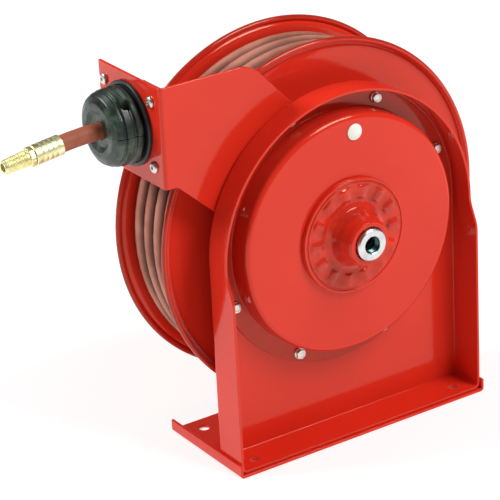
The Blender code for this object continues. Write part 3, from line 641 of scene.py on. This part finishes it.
def pedestal_path(half, bottom, wall, flange):
    """The pedestal's outline: its points, their outward normals and its flange's front edge there."""
    points = []

    def add(x, z, normal, front):
        points.append((Vector((x, 0, z)), Vector((normal[0], 0, normal[1])), front))

    corner = 0.007
    ramp_bottom = 0.186
    for i in range(9):
        angle = math.radians(-90 + 90 * i / 8)
        x = half - corner + corner * math.cos(angle)
        z = bottom + corner + corner * math.sin(angle)
        add(x, z, (math.cos(angle), math.sin(angle)), wall)
    steps = 14
    for i in range(steps):
        share = i / steps
        smooth = share * share * (3 - 2 * share)
        add(half, ramp_bottom + (AXLE.z - ramp_bottom) * share, (1, 0), wall + (flange - wall) * smooth)
    right_side = list(points)
    turns = 96
    for i in range(turns + 1):
        angle = math.pi * i / turns
        normal = (math.cos(angle), math.sin(angle))
        add(half * normal[0], AXLE.z + half * normal[1], normal, flange)
    for point, normal, front in reversed(right_side):
        add(-point.x, point.z, (-normal.x, normal.z), front)
    return points


def make_pedestal():
    """A plate with a flange bent forward all round it, rounded at the bend and along its edge."""
    lo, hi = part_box("pedestal")
    plate_front = hi.y - SHEET
    inner = BEND - SHEET
    edge = 0.0007
    loops = []
    for point, normal, front in pedestal_path(hi.x, lo.z, lo.y, ARCH_FRONT):
        section = [(BEND + 0.002, plate_front)]
        section += arc((BEND, plate_front - inner), inner, 90, 180, 4)
        section += arc((SHEET - edge, front + edge), edge, 0, -90, 2)
        section += arc((edge, front + edge), edge, -90, -180, 2)
        section += arc((BEND, hi.y - BEND), BEND, 180, 90, 8)
        section += [(BEND + 0.002, hi.y)]
        loops.append([point - normal * offset + Y * depth for offset, depth in section])
    data = bmesh.new()
    rows = [[data.verts.new(p) for p in loop] for loop in loops]
    for i, here in enumerate(rows):
        there = rows[(i + 1) % len(rows)]
        for j in range(len(here) - 1):
            data.faces.new((here[j], here[j + 1], there[j + 1], there[j]))
    data.faces.new([row[0] for row in rows])
    data.faces.new([row[-1] for row in rows])
    pedestal = piece("pedestal_shell", data, RED, "frame", "pedestal")
    for x in (-BOLT_X, BOLT_X):
        drill(pedestal, (x, -BOLT_Y, 0), (x, -BOLT_Y, 0.012), BOLT_HOLE)
    shaft_hole = 0.020
    drill(pedestal, AXLE - Y * 0.05, AXLE, shaft_hole)
    normals = pedestal.modifiers.new("flat_faces", "WEIGHTED_NORMAL")
    normals.weight = 60
    normals.keep_sharp = True


# ---------------------------------------------------------------- spring case and bearings
def make_case():
    """A pan with a rounded front edge and a rim for its screws."""
    lo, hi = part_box("spring_case")
    rim = hi.x
    radius = CASE_RADIUS
    opening = 0.018
    sheet = 0.002
    back = hi.y
    profile = filleted(
        [
            (opening, lo.y),
            (radius, lo.y, 0.006),
            (radius, back - sheet, 0.0012),
            (rim, back - sheet, 0.0007),
            (rim, back, 0.0007),
            (radius - sheet, back, 0.0015),
            (radius - sheet, lo.y + sheet, 0.004),
            (opening, lo.y + sheet),
        ],
        8,
    )
    # the case's wall and rim carry painted shade in the groove
    piece("case_shell", turned(profile, AXLE, segments=160), SHADED_GROOVE_PAINT, "frame", "spring_case")


def make_case_screws():
    """Hexagon flange screws round the case's rim."""
    for i in range(8):
        node = f"case_screw_{i + 1}"
        centre = middle(node)
        seat = Vector((centre.x, high("spring_case").y - 0.0023, centre.z))
        head = hexagon_head((0, 0, 0), Y, 0.0095, 0.0034, (0.0062, 0.0009))
        turn = Matrix.Rotation(SCREW_TURN * i, 4, Y)
        bmesh.ops.transform(head, matrix=Matrix.Translation(seat) @ turn, verts=head.verts)
        piece(f"{node}_head", head, ZINC, "frame", node)
        profile = [(0.0, 0.0), (0.0029, 0.0), (0.0029, 0.0115), (0.0022, 0.0125), (0.0, 0.0125)]
        piece(f"{node}_shank", turned(profile, seat, segments=24), ZINC, "frame")


def make_plug():
    """A push-in plug with a domed head."""
    centre = middle("case_plug")
    seat = low("spring_case").y - GAP
    corners = [(0.0, seat - 0.0035)]
    corners += arc((0.0, seat + 0.0105), 0.0140, -90, -57, 6)[1:]
    corners += [(0.0085, seat - 0.0013, 0.0006), (0.0085, seat, 0.0002), (0.0065, seat)]
    corners += [(0.0065, seat + 0.005), (0.0, seat + 0.005)]
    profile = filleted(corners, 3)
    button = turned(profile, (centre.x, 0, centre.z), segments=48)
    piece("plug_button", button, CREAM, "frame", "case_plug")


def make_front_housing():
    """A flange with a ring of short ribs, and a tapered boss with a pocket for the swivel."""
    lo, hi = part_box("front_bearing_housing")
    seat = low("spring_case").y - GAP
    face = seat - 0.005
    rib_middle = 0.047
    rib_half = 0.0075
    ribs = 14
    bore = 0.0153
    pocket = 0.0178
    pocket_end = high("inlet_swivel").y + 0.0009
    rings = 16
    corners = [
        (bore, hi.y),
        (0.0177, hi.y),
        (0.0177, seat),
        (hi.x, seat),
        (hi.x, face, 0.0010),
        (0.0588, face, 0.0003),
        (0.0582, face + 0.0012, 0.0003),
        (0.0570, face + 0.0012, 0.0003),
        (0.0564, face, 0.0003),
    ]
    corners += [(rib_middle + rib_half * (1 - 2 * i / rings), face) for i in range(rings + 1)]
    corners += [
        (0.0360, face, 0.002),
        (0.0310, face - 0.0025, 0.003),
        (0.0285, face - 0.0080, 0.002),
        (0.0243, lo.y + 0.0030, 0.0015),
        (0.0225, lo.y, 0.0012),
        (pocket + 0.0004, lo.y, 0.0004),
        (pocket, lo.y + 0.0004),
        (pocket, pocket_end),
        (bore, pocket_end),
    ]
    profile = filleted(corners, 4)

    def rib(share, radius, depth):
        inside = 1 - ((radius - rib_middle) / rib_half) ** 2
        if inside <= 0 or depth > seat - 0.002:
            return 0.0
        wave = 0.5 + 0.5 * math.cos(math.tau * ribs * share)
        return -0.0021 * min(1.0, 2.2 * inside) * wave**1.5

    data = turned(profile, AXLE, segments=ribs * 16, lift=rib)
    # the boss and the ribbed face carry painted shade in patches
    piece("housing_casting", data, SHADED_CASTING_PAINT, "frame", "front_bearing_housing", smooth=40)


def make_swivel():
    """The swivel's nose with a chamfered rim, and the thread in it, made dark as a painted shade."""
    lo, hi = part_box("inlet_swivel")
    bore = 0.008
    step = hi.y - 0.0092
    wall = bore + 0.0010
    profile = filleted(
        [
            (wall, lo.y + 0.0006),
            (wall + 0.0006, lo.y, 0.0002),
            (hi.x - 0.0012, lo.y, 0.0005),
            (hi.x, lo.y + 0.0013, 0.0005),
            (hi.x, hi.y, 0.0003),
            (SHAFT_BORE, hi.y),
            (SHAFT_BORE, step),
            (wall, step),
        ],
        4,
    )
    piece("swivel_nose", turned(profile, AXLE, segments=96), STEEL, "swivel", "inlet_swivel")
    pitch = 0.0014
    front = lo.y + 0.0007
    count = int((step - front) / pitch)
    thread = [(wall - 0.0001, front), (wall - 0.0001, step), (bore, step)]
    for i in range(count):
        depth = step - 0.0002 - pitch * i
        thread += [(bore - 0.0001, depth), (bore + 0.0007, depth - pitch / 2)]
    # the thread's dark teal is a painted shade
    piece("swivel_thread", turned(thread, AXLE, segments=64), THREAD_SHADE_STEEL, "swivel")


# ---------------------------------------------------------------- spool
def make_flange(node, side):
    """A flange: a flat web, a short lip and a rolled rim. side is -1 at the front."""
    lo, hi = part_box(node)
    sheet = 0.0016
    bead = 0.003
    outside = lo.y if side < 0 else hi.y
    spool_middle = middle("drum").y
    half_span = abs(outside - spool_middle)
    web = half_span - 0.005
    centre = (hi.x - bead, half_span - bead)
    outer = [(SHAFT_BORE, web), (0.060, web), (0.110, web), (0.150, web), (0.1745, web)]
    outer += [(0.1790, web + 0.0001), (0.1812, web + 0.0004), (0.1828, web + 0.0010)]
    outer += [(0.1840, web + 0.0020), (0.1852, web + 0.0034)]
    rolled = arc(centre, bead, 150, -150, 16)
    inner = [(0.1851, web + 0.0012), (0.1842, web + 0.0002), (0.1828, web + 0.0004 - sheet)]
    inner += [(0.1790, web - sheet), (0.150, web - sheet), (SHAFT_BORE, web - sheet)]
    profile = [(r, spool_middle + side * y) for r, y in outer + rolled + inner]
    # the rolled rim carries painted shade
    piece(f"{node}_disc", turned(profile, AXLE, segments=192), SHADED_RIM_PAINT, "spool", node, smooth=40)


def make_tie_rods():
    """Rods with a domed head at each end."""
    shank = 0.004
    high_point = 0.0022
    head = dome(0.0062, high_point)
    for i in range(4):
        node = f"tie_rod_{i + 1}"
        lo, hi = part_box(node)
        profile = [(0.0, lo.y)]
        profile += [(radius, lo.y + depth) for radius, depth in head]
        profile += [(shank, lo.y + high_point), (shank, hi.y - high_point)]
        profile += [(radius, hi.y - depth) for radius, depth in reversed(head)]
        profile += [(0.0, hi.y)]
        centre = middle(node)
        rod = turned(profile, (centre.x, 0, centre.z), segments=32)
        piece(f"{node}_rivet", rod, ZINC, "spool", node)


def make_shaft_nut():
    """A lock nut on the shaft's far end, chamfered on both sides."""
    lo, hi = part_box("shaft_nut")
    apothem = (hi.x - lo.x) / 2 * math.cos(math.pi / 6)
    flats = hexagon(apothem)
    chamfer = apothem * 0.97
    rows = [
        (SHAFT_BORE, lo.y),
        (chamfer, lo.y),
        (flats, lambda reach: lo.y + (reach - chamfer) * 0.55),
        (flats, lambda reach: hi.y - (reach - chamfer) * 0.55),
        (chamfer, hi.y),
        (SHAFT_BORE + 0.0008, hi.y),
        (SHAFT_BORE, hi.y - 0.0008),
    ]
    loops = [ring(AXLE, basis(Y), 72, *row) for row in rows]
    piece("lock_nut", bridge(loops), ZINC, "spool", "shaft_nut")


# ---------------------------------------------------------------- guide arm and rollers
def make_arm():
    """The arm's flat part, its bend and its end with the window, in one sheet."""
    lo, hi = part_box("guide_arm")
    front = lo.y
    back = front + SHEET
    bottom = GUIDE_AT.z - 0.053
    outline = [(lo.x + BEND, bottom), (-0.180, bottom), (-0.136, 0.2700)]
    outline += [(x, z + AXLE.z) for x, z in arc((0, 0), 0.122, 158, 112, 16)]
    outline += [(-0.0420, 0.3620)]
    outline += arc((-0.104, 0.3815), 0.033, 42, 90, 12)
    outline += [(lo.x + BEND, hi.z)]
    data = bmesh.new()
    fronts = [data.verts.new((x, front, z)) for x, z in outline]
    backs = [data.verts.new((x, back, z)) for x, z in outline]
    data.faces.new(fronts)
    data.faces.new(backs)
    count = len(outline)
    for i in range(count - 1):
        data.faces.new((fronts[i], fronts[i + 1], backs[i + 1], backs[i]))
    section_out = arc((lo.x + BEND, front + BEND), BEND, 270, 180, 8) + [(lo.x, hi.y)]
    section_in = arc((lo.x + BEND, front + BEND), BEND - SHEET, 270, 180, 8) + [(lo.x + SHEET, hi.y)]
    rows = []
    for z, front_vert, back_vert in ((bottom, fronts[0], backs[0]), (hi.z, fronts[-1], backs[-1])):
        out = [front_vert] + [data.verts.new((x, y, z)) for x, y in section_out[1:]]
        into = [back_vert] + [data.verts.new((x, y, z)) for x, y in section_in[1:]]
        rows.append((out, into))
    (out_low, in_low), (out_high, in_high) = rows
    for i in range(len(section_out) - 1):
        data.faces.new((out_low[i], out_low[i + 1], out_high[i + 1], out_high[i]))
        data.faces.new((in_low[i], in_low[i + 1], in_high[i + 1], in_high[i]))
        data.faces.new((out_low[i], out_low[i + 1], in_low[i + 1], in_low[i]))
        data.faces.new((out_high[i], out_high[i + 1], in_high[i + 1], in_high[i]))
    data.faces.new((out_low[-1], in_low[-1], in_high[-1], out_high[-1]))
    arm = piece("arm_sheet", data, RED, "frame", "guide_arm")
    window = 0.020
    drill(arm, GUIDE_AT - X * 0.01, GUIDE_AT + X * 0.01, window)
    soften(arm, 0.0006, 2, 50)


def make_bezel():
    """The moulded ring round the outlet, with a rolled lip."""
    profile = filleted(
        [
            (0.0145, 0.0024, 0.0005),
            (0.0145, -0.0042, 0.0022),
            (0.0200, -0.0042, 0.0010),
            (0.0225, -0.0030, 0.0010),
            (0.0380, -0.0030, 0.0008),
            (0.0395, -0.0042, 0.0006),
            (0.0430, -0.0042, 0.0014),
            (0.0430, -GAP, 0.0003),
            (0.0197, -GAP),
            (0.0197, 0.0024),
        ],
        5,
    )
    data = turned(profile, GUIDE_AT, X, segments=120)
    piece("bezel_ring", data, BLACK, "frame", "guide_bezel")


def make_guide_screws():
    """Pan heads with a hexagon socket."""
    head = 0.0058
    height = 0.0032
    edge = 0.30
    socket = hexagon(0.00175)
    rows = [(head, 0.0), (head, height * edge)]
    for degrees in range(15, 76, 15):
        angle = math.radians(degrees)
        rows.append((head * math.cos(angle) ** 0.75, height * (edge + (1 - edge) * math.sin(angle))))
    rows += [(0.00215, height), (socket, height - 0.0002), (socket, height - 0.0020)]
    shank = [(0.0, 0.0), (0.0025, 0.0), (0.0025, 0.008), (0.0019, 0.0085), (0.0, 0.0085)]
    for i in range(4):
        node = f"guide_screw_{i + 1}"
        centre = middle(node)
        origin = Vector((GUIDE_FACE - GAP, centre.y, centre.z))
        loops = [ring(origin, basis(X), 36, radius, -depth) for radius, depth in rows]
        data = bridge(loops, closed_path=False, caps=True)
        piece(f"{node}_head", data, ZINC, "frame", node, smooth=40)
        piece(f"{node}_shank", turned(shank, origin, X, 24), ZINC, "frame")


def make_rollers():
    """Nylon rollers with a shallow waist, and pins with domed ends."""
    bodies = {"lower": "roller_low", "upper": "roller_high", "near": "roller_front", "far": "roller_back"}
    for key, body in bodies.items():
        direction = Y if key in ("lower", "upper") else Z
        centre = middle(f"roller_{key}")
        half = 0.024
        radius = 0.007
        profile = [(0.0028, -half)]
        profile += filleted([(0.0050, -half), (0.0054, -half + 0.0006), (0.0060, -half + 0.0006)], 2)
        for i in range(17):
            share = -1 + 2 * i / 16
            profile.append((radius - 0.0006 * (1 - share * share), (half - 0.0016) * share))
        profile += [(0.0060, half - 0.0006), (0.0054, half - 0.0006), (0.0050, half), (0.0028, half)]
        tube = turned(profile, centre, direction, 48)
        piece(f"roller_{key}_tube", tube, BLACK, body, f"roller_{key}")
        pin = high(f"roller_pin_{key}") - low(f"roller_pin_{key}")
        reach = max(pin.y, pin.z) / 2
        ends = [(0.0, -reach), (0.0017, -reach), (0.0025, -reach + 0.0007), (0.0025, reach - 0.0007)]
        ends += [(0.0017, reach), (0.0, reach)]
        data = turned(ends, middle(f"roller_pin_{key}"), direction, 32)
        piece(f"roller_pin_{key}_rod", data, ZINC, "frame", f"roller_pin_{key}")


# ---------------------------------------------------------------- hose
def run_points():
    """The hose's centre line from the winding's outer layer to behind the guide."""
    mouth = GUIDE_AT + X * GUIDE_RUN
    offset = mouth - AXLE
    reach = math.hypot(offset.x, offset.z)
    touch = math.atan2(offset.z, offset.x) - math.acos(WINDING_TOP / reach)
    start = AXLE + WINDING_TOP * Vector((math.cos(touch), 0, math.sin(touch)))
    start.y = HOSE_LEAVES_Y
    slope = Vector((-math.sin(touch), 0, math.cos(touch)))
    length = reach * math.sin(math.acos(WINDING_TOP / reach))
    first = slope * length
    last = Vector((-length, 0, 0))
    points = []
    steps = 32
    for i in range(steps + 1):
        t = i / steps
        h00 = 2 * t**3 - 3 * t**2 + 1
        h10 = t**3 - 2 * t**2 + t
        h01 = -2 * t**3 + 3 * t**2
        h11 = t**3 - t**2
        points.append(start * h00 + first * h10 + mouth * h01 + last * h11)
    return points, touch


def winding_points(touch):
    """All the turns, back and forth across the drum, from its slot to where the hose leaves."""
    spool_middle = middle("drum").y
    near = HOSE_LEAVES_Y
    far = 2 * spool_middle - near
    first_radius = DRUM_RADIUS + HOSE_RADIUS + GAP
    layer_step = (WINDING_TOP - first_radius) / (LAYERS - 1)
    slot_angle = -math.pi / 2
    whole_turns = 17
    total = whole_turns + (touch - slot_angle) / math.tau
    per_layer = total / LAYERS
    crossing = (far - near) / (2 * HOSE_RADIUS + 0.0001)
    dwell = (per_layer - crossing) / 2
    climb = 0.32
    per_turn = 72
    count = int(total * per_turn)
    points = []
    for i in range(count + 1):
        turns = total * i / count
        layer = min(int(turns / per_layer), LAYERS - 1)
        within = turns - layer * per_layer
        share = min(max((within - dwell) / crossing, 0.0), 1.0)
        if layer % 2:
            share = 1 - share
        radius = first_radius + layer * layer_step
        if layer > 0 and within < climb:
            t = within / climb
            radius -= layer_step * (1 - t * t * (3 - 2 * t))
        angle = touch - math.tau * (total - turns)
        out = Vector((math.cos(angle), 0, math.sin(angle)))
        points.append(AXLE + radius * out + Y * (near + (far - near) * share))
    return points


def make_hose():
    """The winding rides on the spool. The run and the tail are one tube, through the guide."""
    run, touch = run_points()
    winding = swept(winding_points(touch), HOSE_RADIUS, 18)
    piece("hose_turns", winding, WOUND, "spool", "hose_winding", smooth=60)

    bumper_front = low("bumper_upper").x
    bumper_back = high("bumper_upper").x
    path = [run[0] - (run[1] - run[0]) * 0.5] + run
    inside = GUIDE_AT.x - 0.002
    path += [GUIDE_AT + X * 0.018, GUIDE_AT + X * 0.006]
    path += [Vector((inside, GUIDE_AT.y, GUIDE_AT.z)), Vector((bumper_back, GUIDE_AT.y, GUIDE_AT.z))]
    path += [Vector((bumper_front, GUIDE_AT.y, GUIDE_AT.z))]
    steps = 12
    for i in range(1, steps + 1):
        bend = DROOP * i / steps
        path.append(path[-1] + Vector((-math.cos(bend), 0, -math.sin(bend))) * STUB_LENGTH / steps)
    grip = Vector((-math.cos(DROOP), 0, -math.sin(DROOP)))
    stub_end = path[-1].copy()
    path += [stub_end + grip * HOSE_IN_FERRULE * 0.5, stub_end + grip * HOSE_IN_FERRULE]
    line = swept(path, HOSE_RADIUS, 32)
    hose = piece("hose_line", line, HOSE, None, "hose_run", "hose_tail", smooth=60)
    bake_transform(hose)
    return stub_end, grip


def make_bumper():
    """A stop in two moulded halves: a thick disc with a big front radius, grooves and bolt pockets."""
    lo = low("bumper_upper")
    hi = high("bumper_upper")
    centre = Vector((0, GUIDE_AT.y, GUIDE_AT.z))
    radius = (hi.y - lo.y) / 2
    bore = HOSE_RADIUS + 0.0002
    profile = filleted(
        [
            (bore, hi.x),
            (radius - 0.004, hi.x, 0.003),
            (radius, hi.x - 0.004, 0.003),
            (radius, hi.x - 0.0085, 0.0010),
            (radius - 0.0024, hi.x - 0.0098, 0.0008),
            (radius - 0.0024, hi.x - 0.0118, 0.0008),
            (radius - 0.0004, hi.x - 0.0130, 0.0010),
            (radius - 0.0010, hi.x - 0.0195, 0.0010),
            (radius - 0.0034, hi.x - 0.0206, 0.0008),
            (radius - 0.0036, hi.x - 0.0222, 0.0008),
            (radius - 0.0018, hi.x - 0.0232, 0.0010),
            (radius - 0.0050, lo.x + 0.0030, 0.0030),
            (radius - 0.0120, lo.x, 0.0040),
            (0.0215, lo.x, 0.0015),
            (0.0165, lo.x + 0.0030, 0.0015),
            (bore, lo.x + 0.0030, 0.0006),
        ],
        6,
    )
    open_angle = 0.5
    bolts = [middle("bumper_bolt_1"), middle("bumper_bolt_2")]
    for name, start in (("bumper_upper", open_angle), ("bumper_lower", 180 + open_angle)):
        data = turned(profile, centre, X, segments=64, sweep=180 - 2 * open_angle, start=start)
        half = piece(f"{name}_half", data, BUMPER, "hose_end", name, smooth=40)
        if name == "bumper_upper":
            for bolt in bolts:
                top = Vector((bolt.x, bolt.y, centre.z + 0.05))
                drill(half, Vector((bolt.x, bolt.y, centre.z + 0.0187)), top, 0.0060)
        soften(half, 0.0005, 2, 55)
    for i, bolt in enumerate(bolts):
        node = f"bumper_bolt_{i + 1}"
        seat = Vector((bolt.x, bolt.y, centre.z + 0.019))
        head = hexagon_head(seat, -Z, 0.0080, 0.0030)
        piece(f"{node}_head", head, ZINC, "hose_end", node)


def make_fitting(stub_end, grip):
    """The crimped ferrule, and the nipple with its hexagon collar and tapered thread."""
    bore = HOSE_RADIUS + 0.0002
    wall = 0.0104
    length = 0.0305
    profile = [(bore, 0.0), (wall - 0.0006, 0.0), (wall, 0.0006)]
    crimps = 4
    for i in range(crimps):
        start = 0.0060 + 0.0054 * i
        profile += [(wall, start), (wall - 0.0003, start + 0.0009), (wall - 0.0003, start + 0.0020)]
        profile += [(wall, start + 0.0029)]
    profile += [(wall, length - 0.0008), (wall - 0.0008, length), (bore, length)]
    piece("ferrule_crimped", turned(profile, stub_end, grip, 72), BRASS, "hose_end", "ferrule")

    collar = length + GAP
    corner = 0.0102
    flats = hexagon(0.0094)

    def clipped(angle):
        return min(flats(angle), corner)

    rows = [
        (0.0075, HOSE_IN_FERRULE + GAP),
        (0.0075, collar),
        (0.0089, collar),
        (clipped, collar + 0.0007),
        (clipped, 0.0355),
        (0.0089, 0.0362),
        (0.0077, 0.0366),
        (0.0077, 0.0382),
    ]
    thread_start = 0.0386
    thread_end = 0.0622
    pitch = 0.0014
    ridges = int((thread_end - thread_start) / pitch)
    for i in range(ridges):
        depth = thread_start + pitch * i
        crest = 0.0085 - 0.0012 * i / ridges
        rows += [(crest - 0.0007, depth), (crest, depth + pitch * 0.42), (crest, depth + pitch * 0.58)]
    rows += [(0.0066, thread_end), (0.0064, 0.0635), (0.0052, 0.0635), (0.0048, 0.0631), (0.0048, 0.0500)]
    loops = [ring(stub_end, basis(grip), 60, *row) for row in rows]
    nipple = bridge(loops, closed_path=False, caps=True)
    piece("nipple_turned", nipple, BRASS, "hose_end", "brass_fitting")


# ---------------------------------------------------------------- nodes that stay
def keep_nodes():
    """The nodes whose CAD shape is fine enough, mostly inside the reel."""
    keep("drum", RED)
    keep("near_hub", ZINC, 0.0005)
    keep("far_hub", ZINC, 0.0005)
    keep("main_shaft", STEEL)
    keep("spring_arbor", STEEL)
    keep("swivel_seal", SEAL)
    keep("rear_bearing_housing", RED, 0.0005)
    keep("front_bush", BRONZE)
    keep("rear_bush", BRONZE)
    keep("power_spring", SPRING)
    keep("outlet_elbow", BRASS)
    keep("ratchet_ring", ZINC, 0.0003)
    keep("latch_pawl", ZINC, 0.0004)
    keep("pawl_pin", ZINC)
    keep("pawl_spring", SPRING)
    keep("roller_frame", BLACK, 0.0006)


# ---------------------------------------------------------------- stage, lights and camera
def make_stage():
    """A white floor that fades into its surroundings, and a dim world."""
    data = bmesh.new()
    bmesh.ops.create_circle(data, cap_ends=True, segments=96, radius=9.0)
    mesh = bpy.data.meshes.new("floor")
    data.to_mesh(mesh)
    data.free()
    s = Surface("floor_white", (0.6, 0.6, 0.6), 0.85)
    s.tinted(s.noise(2, 3), (0.595, 0.595, 0.595), (0.605, 0.605, 0.605))
    s.set("Specular IOR Level", 0.0)
    s.set("Emission Color", (1, 1, 1, 1))
    s.set("Emission Strength", 0.56)
    mesh.materials.append(s.material)
    floor = bpy.data.objects.new("floor", mesh)
    floor.location.z = low("base_plate").z - 0.0002
    bpy.context.scene.collection.objects.link(floor)

    world = bpy.data.worlds.new("studio")
    world.use_nodes = True
    background = world.node_tree.nodes["Background"]
    background.inputs["Color"].default_value = (1.0, 1.0, 1.0, 1)
    background.inputs["Strength"].default_value = 0.12
    bpy.context.scene.world = world


def make_light(name, place, target, size, power):
    """A round area light aimed at a point."""
    light = bpy.data.lights.new(name, "AREA")
    light.shape = "DISK"
    light.size = size
    light.energy = power
    made = bpy.data.objects.new(name, light)
    made.location = place
    aim = Vector(target) - Vector(place)
    made.rotation_mode = "QUATERNION"
    made.rotation_quaternion = aim.to_track_quat("-Z", "Y")
    bpy.context.scene.collection.objects.link(made)


def make_camera():
    """The camera at the photograph's angle: from the front left and above, with a slight roll."""
    azimuth = math.radians(-32.47)
    elevation = math.radians(24.0)
    roll = math.radians(-3.02)
    distance = 2.55182
    target = Vector((-0.070, 0.0294, 0.19585))
    back = Vector(
        (
            math.sin(azimuth) * math.cos(elevation),
            -math.cos(azimuth) * math.cos(elevation),
            math.sin(elevation),
        )
    )
    right = Vector((math.cos(azimuth), math.sin(azimuth), 0))
    up = back.cross(right)
    right, up = (
        math.cos(roll) * right + math.sin(roll) * up,
        -math.sin(roll) * right + math.cos(roll) * up,
    )
    camera = bpy.data.cameras.new("camera")
    camera.sensor_width = 36
    camera.lens = 180.36
    made = bpy.data.objects.new("camera", camera)
    place = Matrix((right, up, back)).transposed().to_4x4()
    place.translation = target + back * distance
    made.matrix_world = place
    bpy.context.scene.collection.objects.link(made)
    bpy.context.scene.camera = made


def build():
    make_camera()
    make_stage()
    make_light("key", (1.0, -1.7, 2.5), (0, 0, 0.2), 1.6, 74)
    make_light("back_left", (-1.8, 1.5, 2.2), (-0.3, 0.5, 0.0), 1.6, 75)
    bpy.context.scene.view_settings.view_transform = "Standard"

    make_base()
    make_pedestal()
    make_case()
    make_case_screws()
    make_plug()
    make_front_housing()
    make_swivel()
    make_flange("near_flange", -1)
    make_flange("far_flange", 1)
    make_tie_rods()
    make_shaft_nut()
    make_arm()
    make_bezel()
    make_guide_screws()
    make_rollers()
    stub_end, grip = make_hose()
    make_bumper()
    make_fitting(stub_end, grip)
    keep_nodes()


build()
